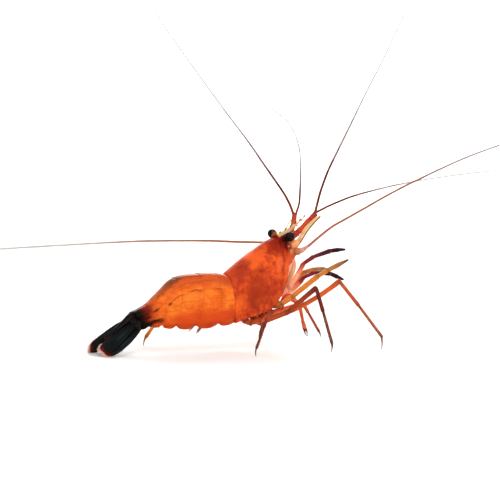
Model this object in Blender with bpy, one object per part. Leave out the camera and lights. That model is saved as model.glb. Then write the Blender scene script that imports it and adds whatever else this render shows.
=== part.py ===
"""A life-size still model of an aquarium shrimp of the peppermint-shrimp kind, as separate closed solids.

Lengths in the tables are millimetres in the animal's own frame: +X towards the head, +Y its left,
+Z up, and z = 0 the floor that its feet and tail stand on. The last step puts the middle of the whole
model's footprint on the world origin. A left limb has y above zero and a right one below.
"""

import math

import bmesh
import bpy
from mathutils import Vector

MM = 0.001
GAP = 0.46  # clear space between neighbouring shell pieces
FLOOR_DIP = 0.4  # how far a foot is modelled below the floor before it is cut flat

# Cephalothorax: dorsal (x, z), ventral (x, z), half width; rear edge first.
CARAPACE_STATIONS = [
    (-6.2, 16.7, -5.0, 6.2, 3.8),
    (-3.7, 18.5, -2.5, 7.1, 4.3),
    (-1.2, 20.3, 0.2, 7.9, 4.5),
    (1.5, 22.1, 3.6, 9.2, 4.35),
    (4.1, 23.7, 6.5, 11.8, 3.8),
    (5.9, 24.5, 8.3, 15.3, 3.1),
    (6.9, 24.7, 9.2, 18.9, 2.3),
]
CARAPACE_PROFILE = [  # half of its section, as shares of half width and half height, top to belly
    (0.0, 1.0),
    (0.34, 0.955),
    (0.64, 0.80),
    (0.86, 0.52),
    (0.985, 0.14),
    (1.0, -0.25),
    (0.97, -0.62),
    (0.88, -1.0),
    (0.74, -0.99),
    (0.62, -0.90),
    (0.0, -0.88),
]
# Abdomen: the same five numbers at each joint between somites, then the height of the belly, as a
# share of the half height below the middle.
ABDOMEN_STATIONS = [
    (-6.4, 16.5, -5.4, 5.9, 3.7, 0.45),
    (-9.0, 16.85, -9.2, 5.4, 3.95, 0.45),
    (-13.2, 16.85, -13.4, 5.1, 4.0, 0.45),
    (-18.6, 16.05, -17.9, 5.1, 3.75, 0.50),
    (-22.2, 13.1, -21.2, 5.3, 3.2, 0.58),
    (-25.4, 10.4, -24.1, 5.8, 2.65, 0.80),
    (-28.9, 8.8, -27.1, 5.1, 2.0, 0.96),
]
# How far each joint leans back at the flanks, as a share of a somite, so that the side plates lap
# backwards over one another.
JOINT_LEAN = [0.0, 0.10, 0.36, 0.50, 0.55, 0.55, 0.0]
PLATE_ROUNDING = [0.25, 0.20, 0.22, 0.22, 0.24, 0.05]  # how far a side plate's corners are lifted

# Half of a somite's section, top to belly: (share of half width, share of half height). The points
# after the plate's tip run up its inner face and along the belly, whose height is set per station.
SHELL_PROFILE = [
    (0.0, 1.0),
    (0.38, 0.95),
    (0.70, 0.76),
    (0.91, 0.45),
    (1.0, 0.08),
    (0.99, -0.32),
    (0.92, -0.70),
    (0.80, -1.0),
]
PLATE_INSET = 0.16  # thickness of the plate's lower edge, as a share of the half width

TAIL_ROOT = Vector((-28.4, 0.0, 6.3))
TAIL_DROP = math.radians(37.0)
TAIL_LENGTH = {"left": 11.1, "right": 10.3}
TAIL_SPREAD = {"left": 1.1, "right": 1.0}
TAIL_LIFT = {"left": 0.05, "right": 0.0}  # rise of each side per millimetre along it
TAIL_SLOPE = {"left": (0.52, 0.86), "right": (0.45, 0.62)}  # how steeply inner and outer blades hang
TELSON = [  # distance along the fan, half width, half thickness
    (-0.55, 1.15, 0.42),
    (1.0, 1.12, 0.4),
    (3.2, 0.86, 0.34),
    (5.6, 0.58, 0.3),
    (7.0, 0.38, 0.27),
]

EYES = {  # centre of the cornea, root of the stalk
    "left": ((7.6, 3.0, 25.2), (7.8, 1.0, 24.5)),
    "right": ((8.45, -2.85, 24.95), (7.8, -1.0, 24.3)),
}
EYE_RADII = (1.08, 1.08, 1.14)  # across, across and along the stalk

# Each antennule's stout base, from the head forwards, and its half thickness at each point.
ANTENNULES = {
    "left": [
        (8.35, 1.05, 22.8), (9.9, 1.2, 24.2), (11.2, 1.4, 25.6), (12.3, 1.8, 27.0), (12.9, 2.35, 28.4),
        (13.3, 2.85, 29.8),
    ],
    "right": [
        (8.35, -1.05, 22.8), (10.0, -1.3, 24.5), (11.2, -1.65, 25.75), (12.4, -2.15, 26.95),
        (13.75, -2.6, 28.6), (15.1, -2.95, 30.1),
    ],
}
ANTENNULE_RADII = [0.6, 0.7, 0.68, 0.66, 0.62, 0.6]

# The antenna's jointed base and its broad scale, for the left side; the right side mirrors them.
ANTENNA_BASE = [
    (8.75, 2.6, 21.6), (9.7, 3.2, 21.6), (10.7, 3.9, 21.75), (11.5, 4.5, 22.4), (12.1, 4.95, 23.0),
]
ANTENNA_BASE_RADII = [0.85, 0.95, 0.66, 0.42, 0.36]
SCALE_OUTER_EDGE = [
    (10.2, 3.7, 22.8), (10.9, 4.1, 23.75), (12.15, 4.65, 26.1),
    (13.45, 4.95, 27.8), (14.5, 4.95, 28.8), (15.3, 4.8, 29.5),
]
SCALE_INNER_EDGE = [
    (9.95, 2.45, 23.4), (10.6, 2.65, 24.45), (11.85, 3.3, 26.8),
    (13.2, 3.85, 28.35), (14.3, 4.05, 29.25), (15.2, 4.35, 29.75),
]

# The long whips of the antennules and the antennae, root first.
FEELERS = {
    "antennule_left_outer": [
        (12.85, 3.05, 30.3), (12.2, 3.5, 32.1), (11.0, 4.3, 34.5), (8.8, 5.4, 37.8), (6.5, 6.4, 41.1),
        (4.2, 7.4, 44.5), (1.7, 8.2, 47.7), (-1.4, 9.0, 51.4), (-9.2, 10.8, 61.0), (-15.8, 12.3, 69.4),
        (-19.5, 13.2, 74.8),
    ],
    "antennule_left_inner": [
        (13.75, 2.6, 30.25), (14.6, 2.9, 33.0), (14.9, 3.5, 39.7), (15.0, 4.5, 44.8), (13.4, 5.7, 49.5),
        (10.8, 6.8, 52.1), (6.8, 8.0, 54.7),
    ],
    "antennule_right_outer": [
        (14.85, -3.25, 30.75), (15.2, -3.4, 32.5), (15.6, -4.0, 35.4), (16.8, -4.8, 39.8),
        (18.2, -5.6, 43.5), (20.9, -6.8, 50.0), (24.4, -7.8, 57.8), (28.2, -8.7, 65.6),
        (34.0, -10.0, 78.6), (36.2, -10.8, 85.0),
    ],
    "antennule_right_inner": [
        (15.6, -2.7, 30.45), (19.7, -3.4, 32.4), (25.7, -4.8, 34.7), (36.4, -7.5, 37.5),
        (47.5, -10.0, 39.5), (58.5, -11.8, 41.0), (66.0, -12.8, 41.8),
    ],
    "antenna_left": [
        (12.5, 5.4, 22.9), (13.6, 7.0, 23.2), (12.8, 9.0, 22.9), (8.8, 10.6, 22.75), (3.0, 12.2, 22.8),
        (-2.9, 13.8, 22.9), (-12.4, 16.9, 22.7), (-21.9, 20.0, 22.2), (-36.6, 25.0, 21.0),
        (-46.9, 28.5, 20.1), (-53.5, 30.6, 19.5),
    ],
    "antenna_right": [
        (12.35, -5.1, 23.2), (14.4, -6.0, 25.2), (17.0, -6.9, 27.4), (20.0, -8.0, 29.3),
        (23.2, -9.0, 31.2), (27.4, -10.4, 33.8), (33.6, -12.0, 37.2), (46.1, -15.0, 43.2),
        (56.1, -17.0, 47.0), (66.0, -18.8, 50.4),
    ],
}
FEELER_ROOT, FEELER_TIP = 0.32, 0.26  # half thickness

# Joints of the legs that stand on the floor: leg root first, then the knee and the foot.
WALKING_LEGS = {
    "pereopod_3_right": [
        (1.6, -1.95, 7.4), (3.4, -3.4, 7.0), (7.3, -5.0, 8.3), (12.0, -7.0, 10.9), (18.0, -9.0, 15.4),
        (22.8, -10.0, 10.0), (28.9, -11.0, 2.9), (28.95, -11.0, -FLOOR_DIP),
    ],
    "pereopod_4_right": [
        (-0.4, -1.95, 6.9), (1.3, -3.9, 6.2), (6.3, -6.6, 8.6), (8.2, -7.3, 10.5), (12.1, -8.6, 14.0),
        (13.2, -10.0, 8.9), (15.1, -11.2, 1.9), (14.9, -11.2, -FLOOR_DIP),
    ],
    "pereopod_5_right": [
        (-2.4, -1.95, 6.6), (-1.2, -3.8, 6.1), (-0.9, -7.0, 6.8), (-1.2, -9.4, 7.9),
        (-1.9, -11.4, 9.0), (-3.0, -11.5, 6.1), (-4.7, -11.5, 1.7), (-4.8, -11.5, -FLOOR_DIP),
    ],
    "pereopod_3_left": [
        (1.6, 1.95, 7.4), (3.4, 3.3, 7.0), (9.2, 5.0, 7.1), (15.0, 6.8, 7.9), (20.4, 8.5, 8.6),
        (22.4, 9.2, 6.4), (27.0, 11.0, 1.5), (27.9, 11.4, -FLOOR_DIP),
    ],
    "pereopod_4_left": [
        (-0.4, 1.95, 6.9), (0.9, 3.8, 6.3), (3.0, 5.8, 8.2), (5.3, 7.4, 10.4), (7.6, 8.8, 12.2),
        (10.8, 9.4, 6.6), (9.7, 9.9, 1.8), (9.7, 10.0, -FLOOR_DIP),
    ],
    "pereopod_5_left": [
        (-2.4, 1.95, 6.6), (-2.9, 3.9, 5.7), (-6.0, 5.8, 8.0), (-9.0, 7.4, 10.2), (-12.0, 8.8, 11.6),
        (-16.6, 9.4, 6.9), (-19.7, 10.4, 1.9), (-20.0, 10.8, -FLOOR_DIP),
    ],
}
WALKING_RADII = [0.78, 0.6, 0.5, 0.52, 0.5, 0.42, 0.38, 0.28]

# Joints of the two pairs of legs that end in small claws, held clear of the floor.
CLAWED_LEGS = {
    "pereopod_1_right": [
        (5.2, -1.95, 9.75), (6.4, -3.5, 10.0), (8.5, -4.3, 11.5), (10.5, -4.5, 13.0),
        (15.2, -4.7, 16.2), (17.4, -4.9, 17.4), (20.9, -5.0, 18.9), (23.2, -5.0, 19.85),
    ],
    "pereopod_1_left": [
        (5.2, 1.95, 9.9), (6.8, 3.5, 9.9), (12.0, 3.9, 11.8), (15.6, 4.1, 14.2), (17.8, 4.3, 16.4),
        (20.4, 4.6, 16.9), (23.6, 4.9, 16.9), (25.0, 5.0, 16.7),
    ],
    "pereopod_2_right": [
        (3.5, -1.95, 8.4), (4.8, -2.3, 8.1), (7.3, -2.6, 8.8), (10.9, -3.3, 11.5), (11.6, -3.6, 9.0),
        (12.0, -4.1, 6.0), (12.5, -4.3, 4.4), (13.0, -4.4, 2.8),
    ],
    "pereopod_2_left": [
        (3.5, 1.95, 8.4), (5.0, 2.1, 8.1), (9.6, 1.4, 9.6), (13.2, 1.0, 11.5), (14.2, 0.9, 8.9),
        (15.1, 0.8, 6.0), (15.6, 0.8, 4.4), (16.0, 0.8, 3.0),
    ],
}
CLAWED_RADII = {
    "pereopod_1_right": [0.7, 0.55, 0.6, 0.62, 0.55, 0.44, 0.5, 0.27],
    "pereopod_1_left": [0.7, 0.55, 0.55, 0.5, 0.44, 0.44, 0.46, 0.27],
    "pereopod_2_right": [0.7, 0.52, 0.46, 0.42, 0.4, 0.42, 0.46, 0.27],
    "pereopod_2_left": [0.7, 0.52, 0.46, 0.42, 0.4, 0.42, 0.46, 0.27],
}

# The outermost mouthparts, which look like a shorter pair of legs.
FEEDING_LEGS = {
    "maxilliped_3_right": [
        (7.1, -1.75, 12.0), (8.8, -2.3, 13.2), (10.9, -2.8, 16.4), (12.3, -3.0, 18.9),
        (14.9, -3.0, 20.4), (19.4, -3.0, 21.7), (21.6, -3.0, 21.95), (23.6, -3.0, 22.0),
    ],
    "maxilliped_3_left": [
        (7.1, 1.75, 12.0), (8.8, 2.1, 11.9), (12.5, 2.3, 12.0), (16.1, 2.4, 15.2), (18.9, 2.5, 16.3),
        (23.5, 2.5, 16.1), (25.6, 2.5, 15.3), (27.4, 2.5, 14.6),
    ],
}
FEEDING_RADII = [0.6, 0.55, 0.5, 0.46, 0.44, 0.44, 0.4, 0.26]

PLEOPODS = [  # length, slope in degrees, distance from the middle, drop of the root below the belly
    (3.0, 36.0, 1.35, 0.84),
    (5.4, 42.0, 1.35, 0.84),
    (3.0, 28.0, 1.3, 1.28),
    (2.6, 8.0, 1.1, 1.0),
    (2.0, -4.0, 0.95, 0.84),
]

RED = (0.72, 0.13, 0.04)
ORANGE = (0.90, 0.25, 0.05)
DARK = (0.03, 0.02, 0.02)
AMBER = (0.85, 0.52, 0.25)
MAROON = (0.30, 0.06, 0.05)


# ---------------------------------------------------------------- small tools


def make_material(name, color, roughness=0.35, metallic=0.0):
    material = bpy.data.materials.new(name)
    material.use_nodes = True
    shader = material.node_tree.nodes["Principled BSDF"]
    shader.inputs["Base Color"].default_value = (*color, 1.0)
    shader.inputs["Roughness"].default_value = roughness
    shader.inputs["Metallic"].default_value = metallic
    material.diffuse_color = (*color, 1.0)
    return material


def smooth_rows(rows, spans):
    """Reads a few rows of numbers as a smooth Catmull-Rom curve, with spans steps between rows."""
    read = []
    last = len(rows) - 1
    for i in range(last):
        before, here, there, after = rows[max(i - 1, 0)], rows[i], rows[i + 1], rows[min(i + 2, last)]
        for k in range(spans):
            read.append(catmull(before, here, there, after, k / spans))
    read.append(tuple(rows[last]))
    return read


def catmull(before, here, there, after, t):
    return tuple(
        0.5 * (2 * q + (r - p) * t + (2 * p - 5 * q + 4 * r - s) * t * t + (3 * q - p - 3 * r + s) * t ** 3)
        for p, q, r, s in zip(before, here, there, after)
    )


def row_at(rows, s):
    """The rows' smooth curve at position s, counted in rows."""
    last = len(rows) - 1
    i = min(max(int(math.floor(s)), 0), last - 1)
    return catmull(rows[max(i - 1, 0)], rows[i], rows[i + 1], rows[min(i + 2, last)], s - i)


def add_mesh_object(name, bm, material, smooth_angle=35.0):
    """Makes bm the mesh of a new object under the animal's root empty; bm is in millimetres."""
    bmesh.ops.recalc_face_normals(bm, faces=bm.faces)
    if bm.calc_volume(signed=True) < 0:
        bmesh.ops.reverse_faces(bm, faces=bm.faces)
    bmesh.ops.scale(bm, vec=(MM, MM, MM), verts=bm.verts)
    mesh = bpy.data.meshes.new(name)
    bm.to_mesh(mesh)
    bm.free()
    mesh.materials.append(material)
    mesh.shade_smooth()
    mesh.set_sharp_from_angle(angle=math.radians(smooth_angle))
    body = bpy.data.objects.new(name, mesh)
    bpy.context.scene.collection.objects.link(body)
    body.parent = bpy.data.objects["shrimp"]
    return body


def skin_rings(rings):
    """A closed bmesh through rings of points: quads between neighbours and one face over each end."""
    bm = bmesh.new()
    loops = [[bm.verts.new(p) for p in ring] for ring in rings]
    count = len(loops[0])
    for a, b in zip(loops, loops[1:]):
        for k in range(count):
            bm.faces.new((a[k], a[(k + 1) % count], b[(k + 1) % count], b[k]))
    bm.faces.new(loops[0])
    bm.faces.new(reversed(loops[-1]))
    return bm


def cut_at_floor(bm):
    """Cuts off what lies below z = 0 and closes the cut, which leaves a small flat to stand on."""
    geometry = bm.verts[:] + bm.edges[:] + bm.faces[:]
    cut = bmesh.ops.bisect_plane(
        bm, geom=geometry, plane_co=(0, 0, 0), plane_no=(0, 0, 1), clear_inner=True
    )
    edges = [e for e in cut["geom_cut"] if isinstance(e, bmesh.types.BMEdge)]
    bmesh.ops.edgenet_fill(bm, edges=edges)


def dish(ring, inward, depth):
    """The ring of a shallow hollow inside an open end's rim."""
    middle = sum(ring, Vector()) / len(ring)
    return [middle + (p - middle) * 0.8 + inward * depth for p in ring]


def swept_rings(path, sizes, across, sides):
    """Oval rings along a path. sizes gives (half width, half thickness) at each point, and across
    the direction that the width lies in. At a bend the ring is widened to keep the limb's girth."""
    points = [Vector(p) for p in path]
    rings = []
    for i, point in enumerate(points):
        ahead = (points[min(i + 1, len(points) - 1)] - point).normalized()
        behind = (point - points[max(i - 1, 0)]).normalized()
        along = (ahead + behind).normalized()
        bend = (ahead - behind) if 0 < i < len(points) - 1 else Vector()
        half_turn = math.sqrt(max(0.0, (1 - ahead.dot(behind)) / 2)) if bend.length > 1e-6 else 0.0
        widen = min(1.0 / math.sqrt(max(1 - half_turn ** 2, 0.2)), 1.6)
        side = (Vector(across) - along * along.dot(Vector(across))).normalized()
        top = along.cross(side)
        half_width, half_thickness = sizes[i]
        ring = []
        for k in range(sides):
            angle = 2 * math.pi * (k + 0.5) / sides
            offset = side * (half_width * math.cos(angle)) + top * (half_thickness * math.sin(angle))
            if half_turn > 0.05:
                toward = bend.normalized()
                offset += toward * (offset.dot(toward) * (widen - 1.0))
            ring.append(point + offset)
        rings.append(ring)
    return rings


def add_limb(name, path, radii, material, sides=8, on_floor=False):
    """A round limb through its joints; radii has one value per joint."""
    overall = Vector(path[-1]) - Vector(path[0])
    across = Vector((0, 1, 0)) if abs(overall.normalized().y) < 0.8 else Vector((1, 0, 0))
    bm = skin_rings(swept_rings(path, [(r, r) for r in radii], across, sides))
    if on_floor:
        cut_at_floor(bm)
    return add_mesh_object(name, bm, material)


def add_blade(name, path, sizes, across, material, sides=8, on_floor=False):
    """A flat blade through its stations; sizes has (half width, half thickness) per station."""
    bm = skin_rings(swept_rings(path, sizes, across, sides))
    if on_floor:
        cut_at_floor(bm)
    return add_mesh_object(name, bm, material)


def add_plate_between(name, edge, other_edge, half_thickness, material):
    """A thin plate whose two long edges run through the given points."""
    rings = []
    for i, (a, b) in enumerate(zip(edge, other_edge)):
        a, b = Vector(a), Vector(b)
        ahead = Vector(edge[min(i + 1, len(edge) - 1)]) - Vector(edge[max(i - 1, 0)])
        up = (b - a).cross(ahead).normalized() * half_thickness
        inset = (b - a) * 0.16
        rings.append([a, a + inset + up, b - inset + up, b, b - inset - up, a + inset - up])
    return add_mesh_object(name, skin_rings(rings), material)


def mirrored(point, side):
    """The point on the animal's left (side 1) or right (side -1), given for the left."""
    return (point[0], point[1] * side, point[2])


# ---------------------------------------------------------------- trunk


def add_carapace(material):
    """The whole shell over head and thorax, with the rostrum united to it."""
    outline = CARAPACE_PROFILE + [(-u, v) for u, v in reversed(CARAPACE_PROFILE[1:-1])]
    rings = []
    for dx, dz, vx, vz, half_width in smooth_rows(CARAPACE_STATIONS, 2):
        dorsal, ventral = Vector((dx, 0, dz)), Vector((vx, 0, vz))
        middle, half_height = (dorsal + ventral) / 2, (dorsal - ventral) / 2
        rings.append([middle + half_height * v + Vector((0, half_width * u, 0)) for u, v in outline])
    forward = (sum(rings[1], Vector()) - sum(rings[0], Vector())).normalized()
    shell = add_mesh_object("carapace", skin_rings([dish(rings[0], forward, 0.5)] + rings), material)
    blade = add_rostrum_blade(material)
    union = shell.modifiers.new("rostrum", "BOOLEAN")
    union.operation = "UNION"
    union.solver = "EXACT"
    union.object = blade
    blade.hide_render = True
    blade.display_type = "WIRE"


def add_rostrum_blade(material):
    """A thin upright blade with saw teeth along its upper edge and two below, rooted in the shell."""
    root, brow, tip = Vector((3.0, 0, 22.3)), Vector((6.2, 0, 24.9)), Vector((15.2, 0, 30.1))
    under_root, under_tip = Vector((6.4, 0, 22.8)), Vector((12.6, 0, 27.1))
    half_thickness, tooth_height, upper_teeth, lower_teeth = 0.3, 0.34, 7, 2
    top = [root, brow] + saw_edge(brow, Vector((11.4, 0, 27.2)), tip, upper_teeth, tooth_height)
    below = saw_edge(under_tip, Vector((13.8, 0, 28.4)), tip, lower_teeth, -tooth_height * 0.8)
    outline = top + [tip] + below[::-1] + [under_tip, Vector((9.6, 0, 25.2)), under_root]
    bm = bmesh.new()
    face = bm.faces.new([bm.verts.new(p + Vector((0, -half_thickness, 0))) for p in outline])
    pushed = bmesh.ops.extrude_face_region(bm, geom=[face])
    moved = [v for v in pushed["geom"] if isinstance(v, bmesh.types.BMVert)]
    bmesh.ops.translate(bm, vec=(0, 2 * half_thickness, 0), verts=moved)
    return add_mesh_object("rostrum_blade_cutter", bm, material)


def saw_edge(start, bend, end, teeth, height):
    """Points of forward-leaning teeth along the curve start, bend, end, without its two ends."""
    points = []
    for k in range(teeth):
        for share, rise in ((0.55, height), (0.80, 0.0)):
            t = (k + share) / (teeth + 0.7)
            on_edge = start.lerp(bend, t).lerp(bend.lerp(end, t), t)
            points.append(on_edge + Vector((-0.3 * rise, 0, rise)))
    return points


def abdomen_point(s, u, v):
    """A point of the abdomen at joint position s, from shares u, v of the half width and height."""
    dx, dz, vx, vz, half_width, _belly = row_at(ABDOMEN_STATIONS, s)
    dorsal, ventral = Vector((dx, 0, dz)), Vector((vx, 0, vz))
    return (dorsal + ventral) / 2 + (dorsal - ventral) / 2 * v + Vector((0, half_width * u, 0))


def joint_position(joint, v):
    """Where a joint between somites lies, at height share v: it leans towards the flanks."""
    fall = min(max((0.5 - v) / 1.5, 0.0), 1.0)
    return joint + JOINT_LEAN[joint] * fall * fall


def add_somite(index, material):
    """One ring of the abdomen with its two side plates, between its two leaning joints."""
    steps = 5
    rings = []
    for step in range(steps):
        t = step / (steps - 1)
        _dx, _dz, _vx, _vz, _w, belly = row_at(ABDOMEN_STATIONS, index + t)
        lift = PLATE_ROUNDING[index] * (1 - math.sin(math.pi * t)) ** 1.5
        half = []
        for u, v in SHELL_PROFILE:
            half.append((u, max(v, -1.0 + lift) if v < -0.6 else v))
        tip_u, tip_v = half[-1]
        half += [
            (tip_u - PLATE_INSET, min(tip_v + 0.04, -belly)),
            ((tip_u - PLATE_INSET) * 0.92, min(-belly, tip_v + 0.3) if belly > 0.9 else -belly),
            (0.0, -belly),
        ]
        outline = half + [(-u, v) for u, v in reversed(half[1:-1])]
        ring = []
        for u, v in outline:
            front, rear = joint_position(index, v), joint_position(index + 1, v)
            middle = (front + rear) / 2
            length = (abdomen_point(middle + 0.2, u, v) - abdomen_point(middle - 0.2, u, v)).length / 0.4
            clearance = GAP / 2 / max(length, 1.0)
            ring.append(abdomen_point(front + clearance + (rear - front - 2 * clearance) * t, u, v))
        rings.append(ring)
    axis = (sum(rings[-1], Vector()) - sum(rings[0], Vector())).normalized()
    rings = [dish(rings[0], axis, 0.5)] + rings + [dish(rings[-1], -axis, 0.5)]
    bm = skin_rings(rings)
    bmesh.ops.triangulate(bm, faces=[f for f in bm.faces if len(f.verts) > 4], ngon_method="EAR_CLIP")
    add_mesh_object(f"somite_{index + 1}", bm, material)


# ---------------------------------------------------------------- tail fan


def tail_point(along, out, up):
    """A point of the tail fan: along it from its root, out to the left, and up off its plane."""
    return (
        TAIL_ROOT
        + Vector((-math.cos(TAIL_DROP), 0, -math.sin(TAIL_DROP))) * along
        + Vector((-math.sin(TAIL_DROP), 0, math.cos(TAIL_DROP))) * up
        + Vector((0, out, 0))
    )


def add_tail_fan(material):
    """The folded fan: the telson on top, and the inner and outer uropods sloping down like a tent."""
    add_blade(
        "telson",
        [tail_point(along, 0, 1.9 - 0.05 * along) for along, _w, _t in TELSON],
        [(w, t) for _a, w, t in TELSON],
        (0, 1, 0),
        material,
    )
    for side, word in ((1, "left"), (-1, "right")):
        reach, spread, lift = TAIL_LENGTH[word], TAIL_SPREAD[word] * side, TAIL_LIFT[word]
        inner = [  # along, out, up, half width
            (-0.3, 1.2, 0.75, 0.45),
            (1.6, 1.55, 0.8, 0.8),
            (4.2, 1.95, 0.8, 1.05),
            (6.8, 2.1, 0.88, 1.1),
            (reach - 1.5, 2.1, 0.95, 0.98),
            (reach - 0.7, 2.1, 0.95, 0.6),
        ]
        outer = [
            (-0.1, 1.8, -0.8, 0.5),
            (1.6, 2.45, -1.0, 1.05),
            (4.2, 2.9, -0.98, 1.32),
            (6.8, 3.15, -0.88, 1.34),
            (reach - 1.1, 3.2, -0.7, 1.2),
            (reach, 3.15, -0.6, 0.75),
        ]
        inner_slope, outer_slope = TAIL_SLOPE[word]
        for name, stations, slope in (("endopod", inner, inner_slope), ("exopod", outer, outer_slope)):
            down = Vector((math.sin(TAIL_DROP), 0, -math.cos(TAIL_DROP)))
            across = Vector((0, side * math.cos(slope), 0)) + down * math.sin(slope)
            add_blade(
                f"uropod_{name}_{word}",
                [tail_point(along, out * spread, up + lift * along) for along, out, up, _w in stations],
                [(w, 0.27) for _a, _out, _up, w in stations],
                across,
                material,
                on_floor=True,
            )


# ---------------------------------------------------------------- head


def add_eyes(cornea_material, stalk_material):
    for word, (centre, root) in EYES.items():
        centre, root = Vector(centre), Vector(root)
        aim = (centre - root).normalized()
        bm = bmesh.new()
        bmesh.ops.create_uvsphere(bm, u_segments=14, v_segments=9, radius=1.0)
        bmesh.ops.scale(bm, vec=EYE_RADII, verts=bm.verts)
        eye = add_mesh_object(f"eye_{word}", bm, cornea_material)
        eye.location = centre * MM
        eye.rotation_mode = "QUATERNION"
        eye.rotation_quaternion = aim.to_track_quat("Z", "Y")
        neck = centre - aim * (EYE_RADII[2] + 0.3)
        path = [root, root.lerp(neck, 0.5), neck]
        add_limb(f"eyestalk_{word}", path, [0.42, 0.46, 0.5], stalk_material)


def add_head_limbs(orange, red, amber, feeler_material):
    for word, side in (("left", 1), ("right", -1)):
        add_limb(f"antennule_{word}", ANTENNULES[word], ANTENNULE_RADII, orange)
        base = [mirrored(p, side) for p in ANTENNA_BASE]
        add_limb(f"antenna_base_{word}", base, ANTENNA_BASE_RADII, red)
        add_plate_between(
            f"antenna_scale_{word}",
            [mirrored(p, side) for p in SCALE_OUTER_EDGE],
            [mirrored(p, side) for p in SCALE_INNER_EDGE],
            0.27,
            amber,
        )
    for name, path in FEELERS.items():
        points = smooth_rows(path, 2)
        last = len(points) - 1
        radii = [FEELER_ROOT + (FEELER_TIP - FEELER_ROOT) * i / last for i in range(last + 1)]
        add_limb(f"{name}_flagellum", points, radii, feeler_material, sides=6)


def add_mouthparts(material):
    stations = [  # x, z, half width, half thickness
        (8.65, 12.9, 0.7, 0.6),
        (9.15, 14.2, 1.15, 0.95),
        (9.75, 15.8, 1.3, 1.15),
        (10.25, 17.4, 1.25, 1.15),
        (10.6, 18.7, 1.0, 0.95),
        (10.75, 19.5, 0.6, 0.6),
    ]
    add_blade(
        "mouthparts",
        [(x, 0, z) for x, z, _w, _t in stations],
        [(w, t) for _x, _z, w, t in stations],
        (0, 1, 0),
        material,
        sides=10,
    )


# ---------------------------------------------------------------- legs

def add_legs(orange, maroon):
    for name, path in WALKING_LEGS.items():
        add_limb(name, path, WALKING_RADII, orange, on_floor=True)
    for name, path in CLAWED_LEGS.items():
        add_limb(name, path, CLAWED_RADII[name], orange)
    for name, path in FEEDING_LEGS.items():
        add_limb(name, path, FEEDING_RADII, maroon)


def add_sternum(material):
    """The narrow floor of the thorax, between the two rows of leg roots."""
    stations = [  # x, z, half width
        (-3.8, 6.6, 0.5),
        (-2.3, 6.9, 0.8),
        (0.3, 7.6, 0.85),
        (3.3, 8.8, 0.85),
        (5.4, 10.3, 0.8),
        (6.0, 11.1, 0.5),
    ]
    add_blade(
        "sternum",
        [(x, 0, z) for x, z, _w in stations],
        [(w, 0.4) for _x, _z, w in stations],
        (0, 1, 0),
        material,
    )


def add_pleopods(material):
    """Five pairs of swimming legs, folded back under the belly between the side plates."""
    for index, (length, degrees, out, drop) in enumerate(PLEOPODS):
        joint = index + 0.5
        root = abdomen_point(joint, 0.0, -row_at(ABDOMEN_STATIONS, joint)[5])
        behind = abdomen_point(joint + 0.1, 0.0, -row_at(ABDOMEN_STATIONS, joint + 0.1)[5])
        backward = (behind - root).normalized()
        slope = math.radians(degrees) + math.atan2(-backward.z, -backward.x)
        start = root + Vector((0.5, 0, -drop))
        for word, side in (("left", 1), ("right", -1)):
            along = Vector((-math.cos(slope), 0.05 * side, -math.sin(slope)))
            shares = [(0.0, 0.42), (0.3, 0.58), (0.62, 0.58), (0.88, 0.4), (1.0, 0.27)]
            path = [start + Vector((0, out * side, 0)) + along * (length * t) for t, _w in shares]
            sizes = [(w, 0.27) for _t, w in shares]
            add_blade(f"pleopod_{index + 1}_{word}", path, sizes, (0, 1, 0), material, sides=6)


# ---------------------------------------------------------------- whole animal


def stand_on_origin(root):
    """Shifts the animal's root so that the middle of the model's footprint is the world origin."""
    bpy.context.view_layer.update()
    depsgraph = bpy.context.evaluated_depsgraph_get()
    corners = []
    for body in root.children:
        if not body.hide_render:
            evaluated = body.evaluated_get(depsgraph)
            corners += [evaluated.matrix_world @ v.co for v in evaluated.data.vertices]
    low = Vector(min(c[axis] for c in corners) for axis in range(3))
    high = Vector(max(c[axis] for c in corners) for axis in range(3))
    root.location = -Vector(((low.x + high.x) / 2, (low.y + high.y) / 2, low.z))
    bpy.context.view_layer.update()


def build_shrimp():
    for old in list(bpy.data.objects):
        bpy.data.objects.remove(old)
    root = bpy.data.objects.new("shrimp", None)
    bpy.context.scene.collection.objects.link(root)

    orange = make_material("orange_shell", ORANGE, 0.3)
    red = make_material("red_shell", RED, 0.3)
    dark = make_material("black_tail", DARK, 0.3)
    amber = make_material("amber_blade", AMBER, 0.35)
    maroon = make_material("maroon_limb", MAROON, 0.35)
    cornea = make_material("cornea", DARK, 0.12)

    add_carapace(red)
    for index in range(6):
        add_somite(index, orange)
    add_tail_fan(dark)
    add_eyes(cornea, maroon)
    add_head_limbs(orange, red, amber, orange)
    add_mouthparts(amber)
    add_sternum(orange)
    add_legs(orange, maroon)
    add_pleopods(orange)
    stand_on_origin(root)


build_shrimp()
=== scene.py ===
import math

import bmesh
import bpy
from mathutils import Matrix, Vector


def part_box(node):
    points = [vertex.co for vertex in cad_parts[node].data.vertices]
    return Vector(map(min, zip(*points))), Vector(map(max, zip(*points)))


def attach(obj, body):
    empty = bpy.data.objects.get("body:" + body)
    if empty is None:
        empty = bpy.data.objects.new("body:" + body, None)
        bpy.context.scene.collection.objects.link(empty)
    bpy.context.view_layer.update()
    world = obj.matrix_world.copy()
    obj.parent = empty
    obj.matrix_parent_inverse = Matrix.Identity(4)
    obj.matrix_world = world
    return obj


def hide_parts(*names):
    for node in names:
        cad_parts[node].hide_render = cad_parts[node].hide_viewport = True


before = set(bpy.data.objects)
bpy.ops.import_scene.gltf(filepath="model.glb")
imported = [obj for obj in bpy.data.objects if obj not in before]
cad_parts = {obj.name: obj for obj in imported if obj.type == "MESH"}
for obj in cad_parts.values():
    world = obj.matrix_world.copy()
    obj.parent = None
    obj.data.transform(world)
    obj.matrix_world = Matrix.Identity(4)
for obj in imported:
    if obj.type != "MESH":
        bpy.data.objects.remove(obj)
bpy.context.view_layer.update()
mm = 0.001

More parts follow.
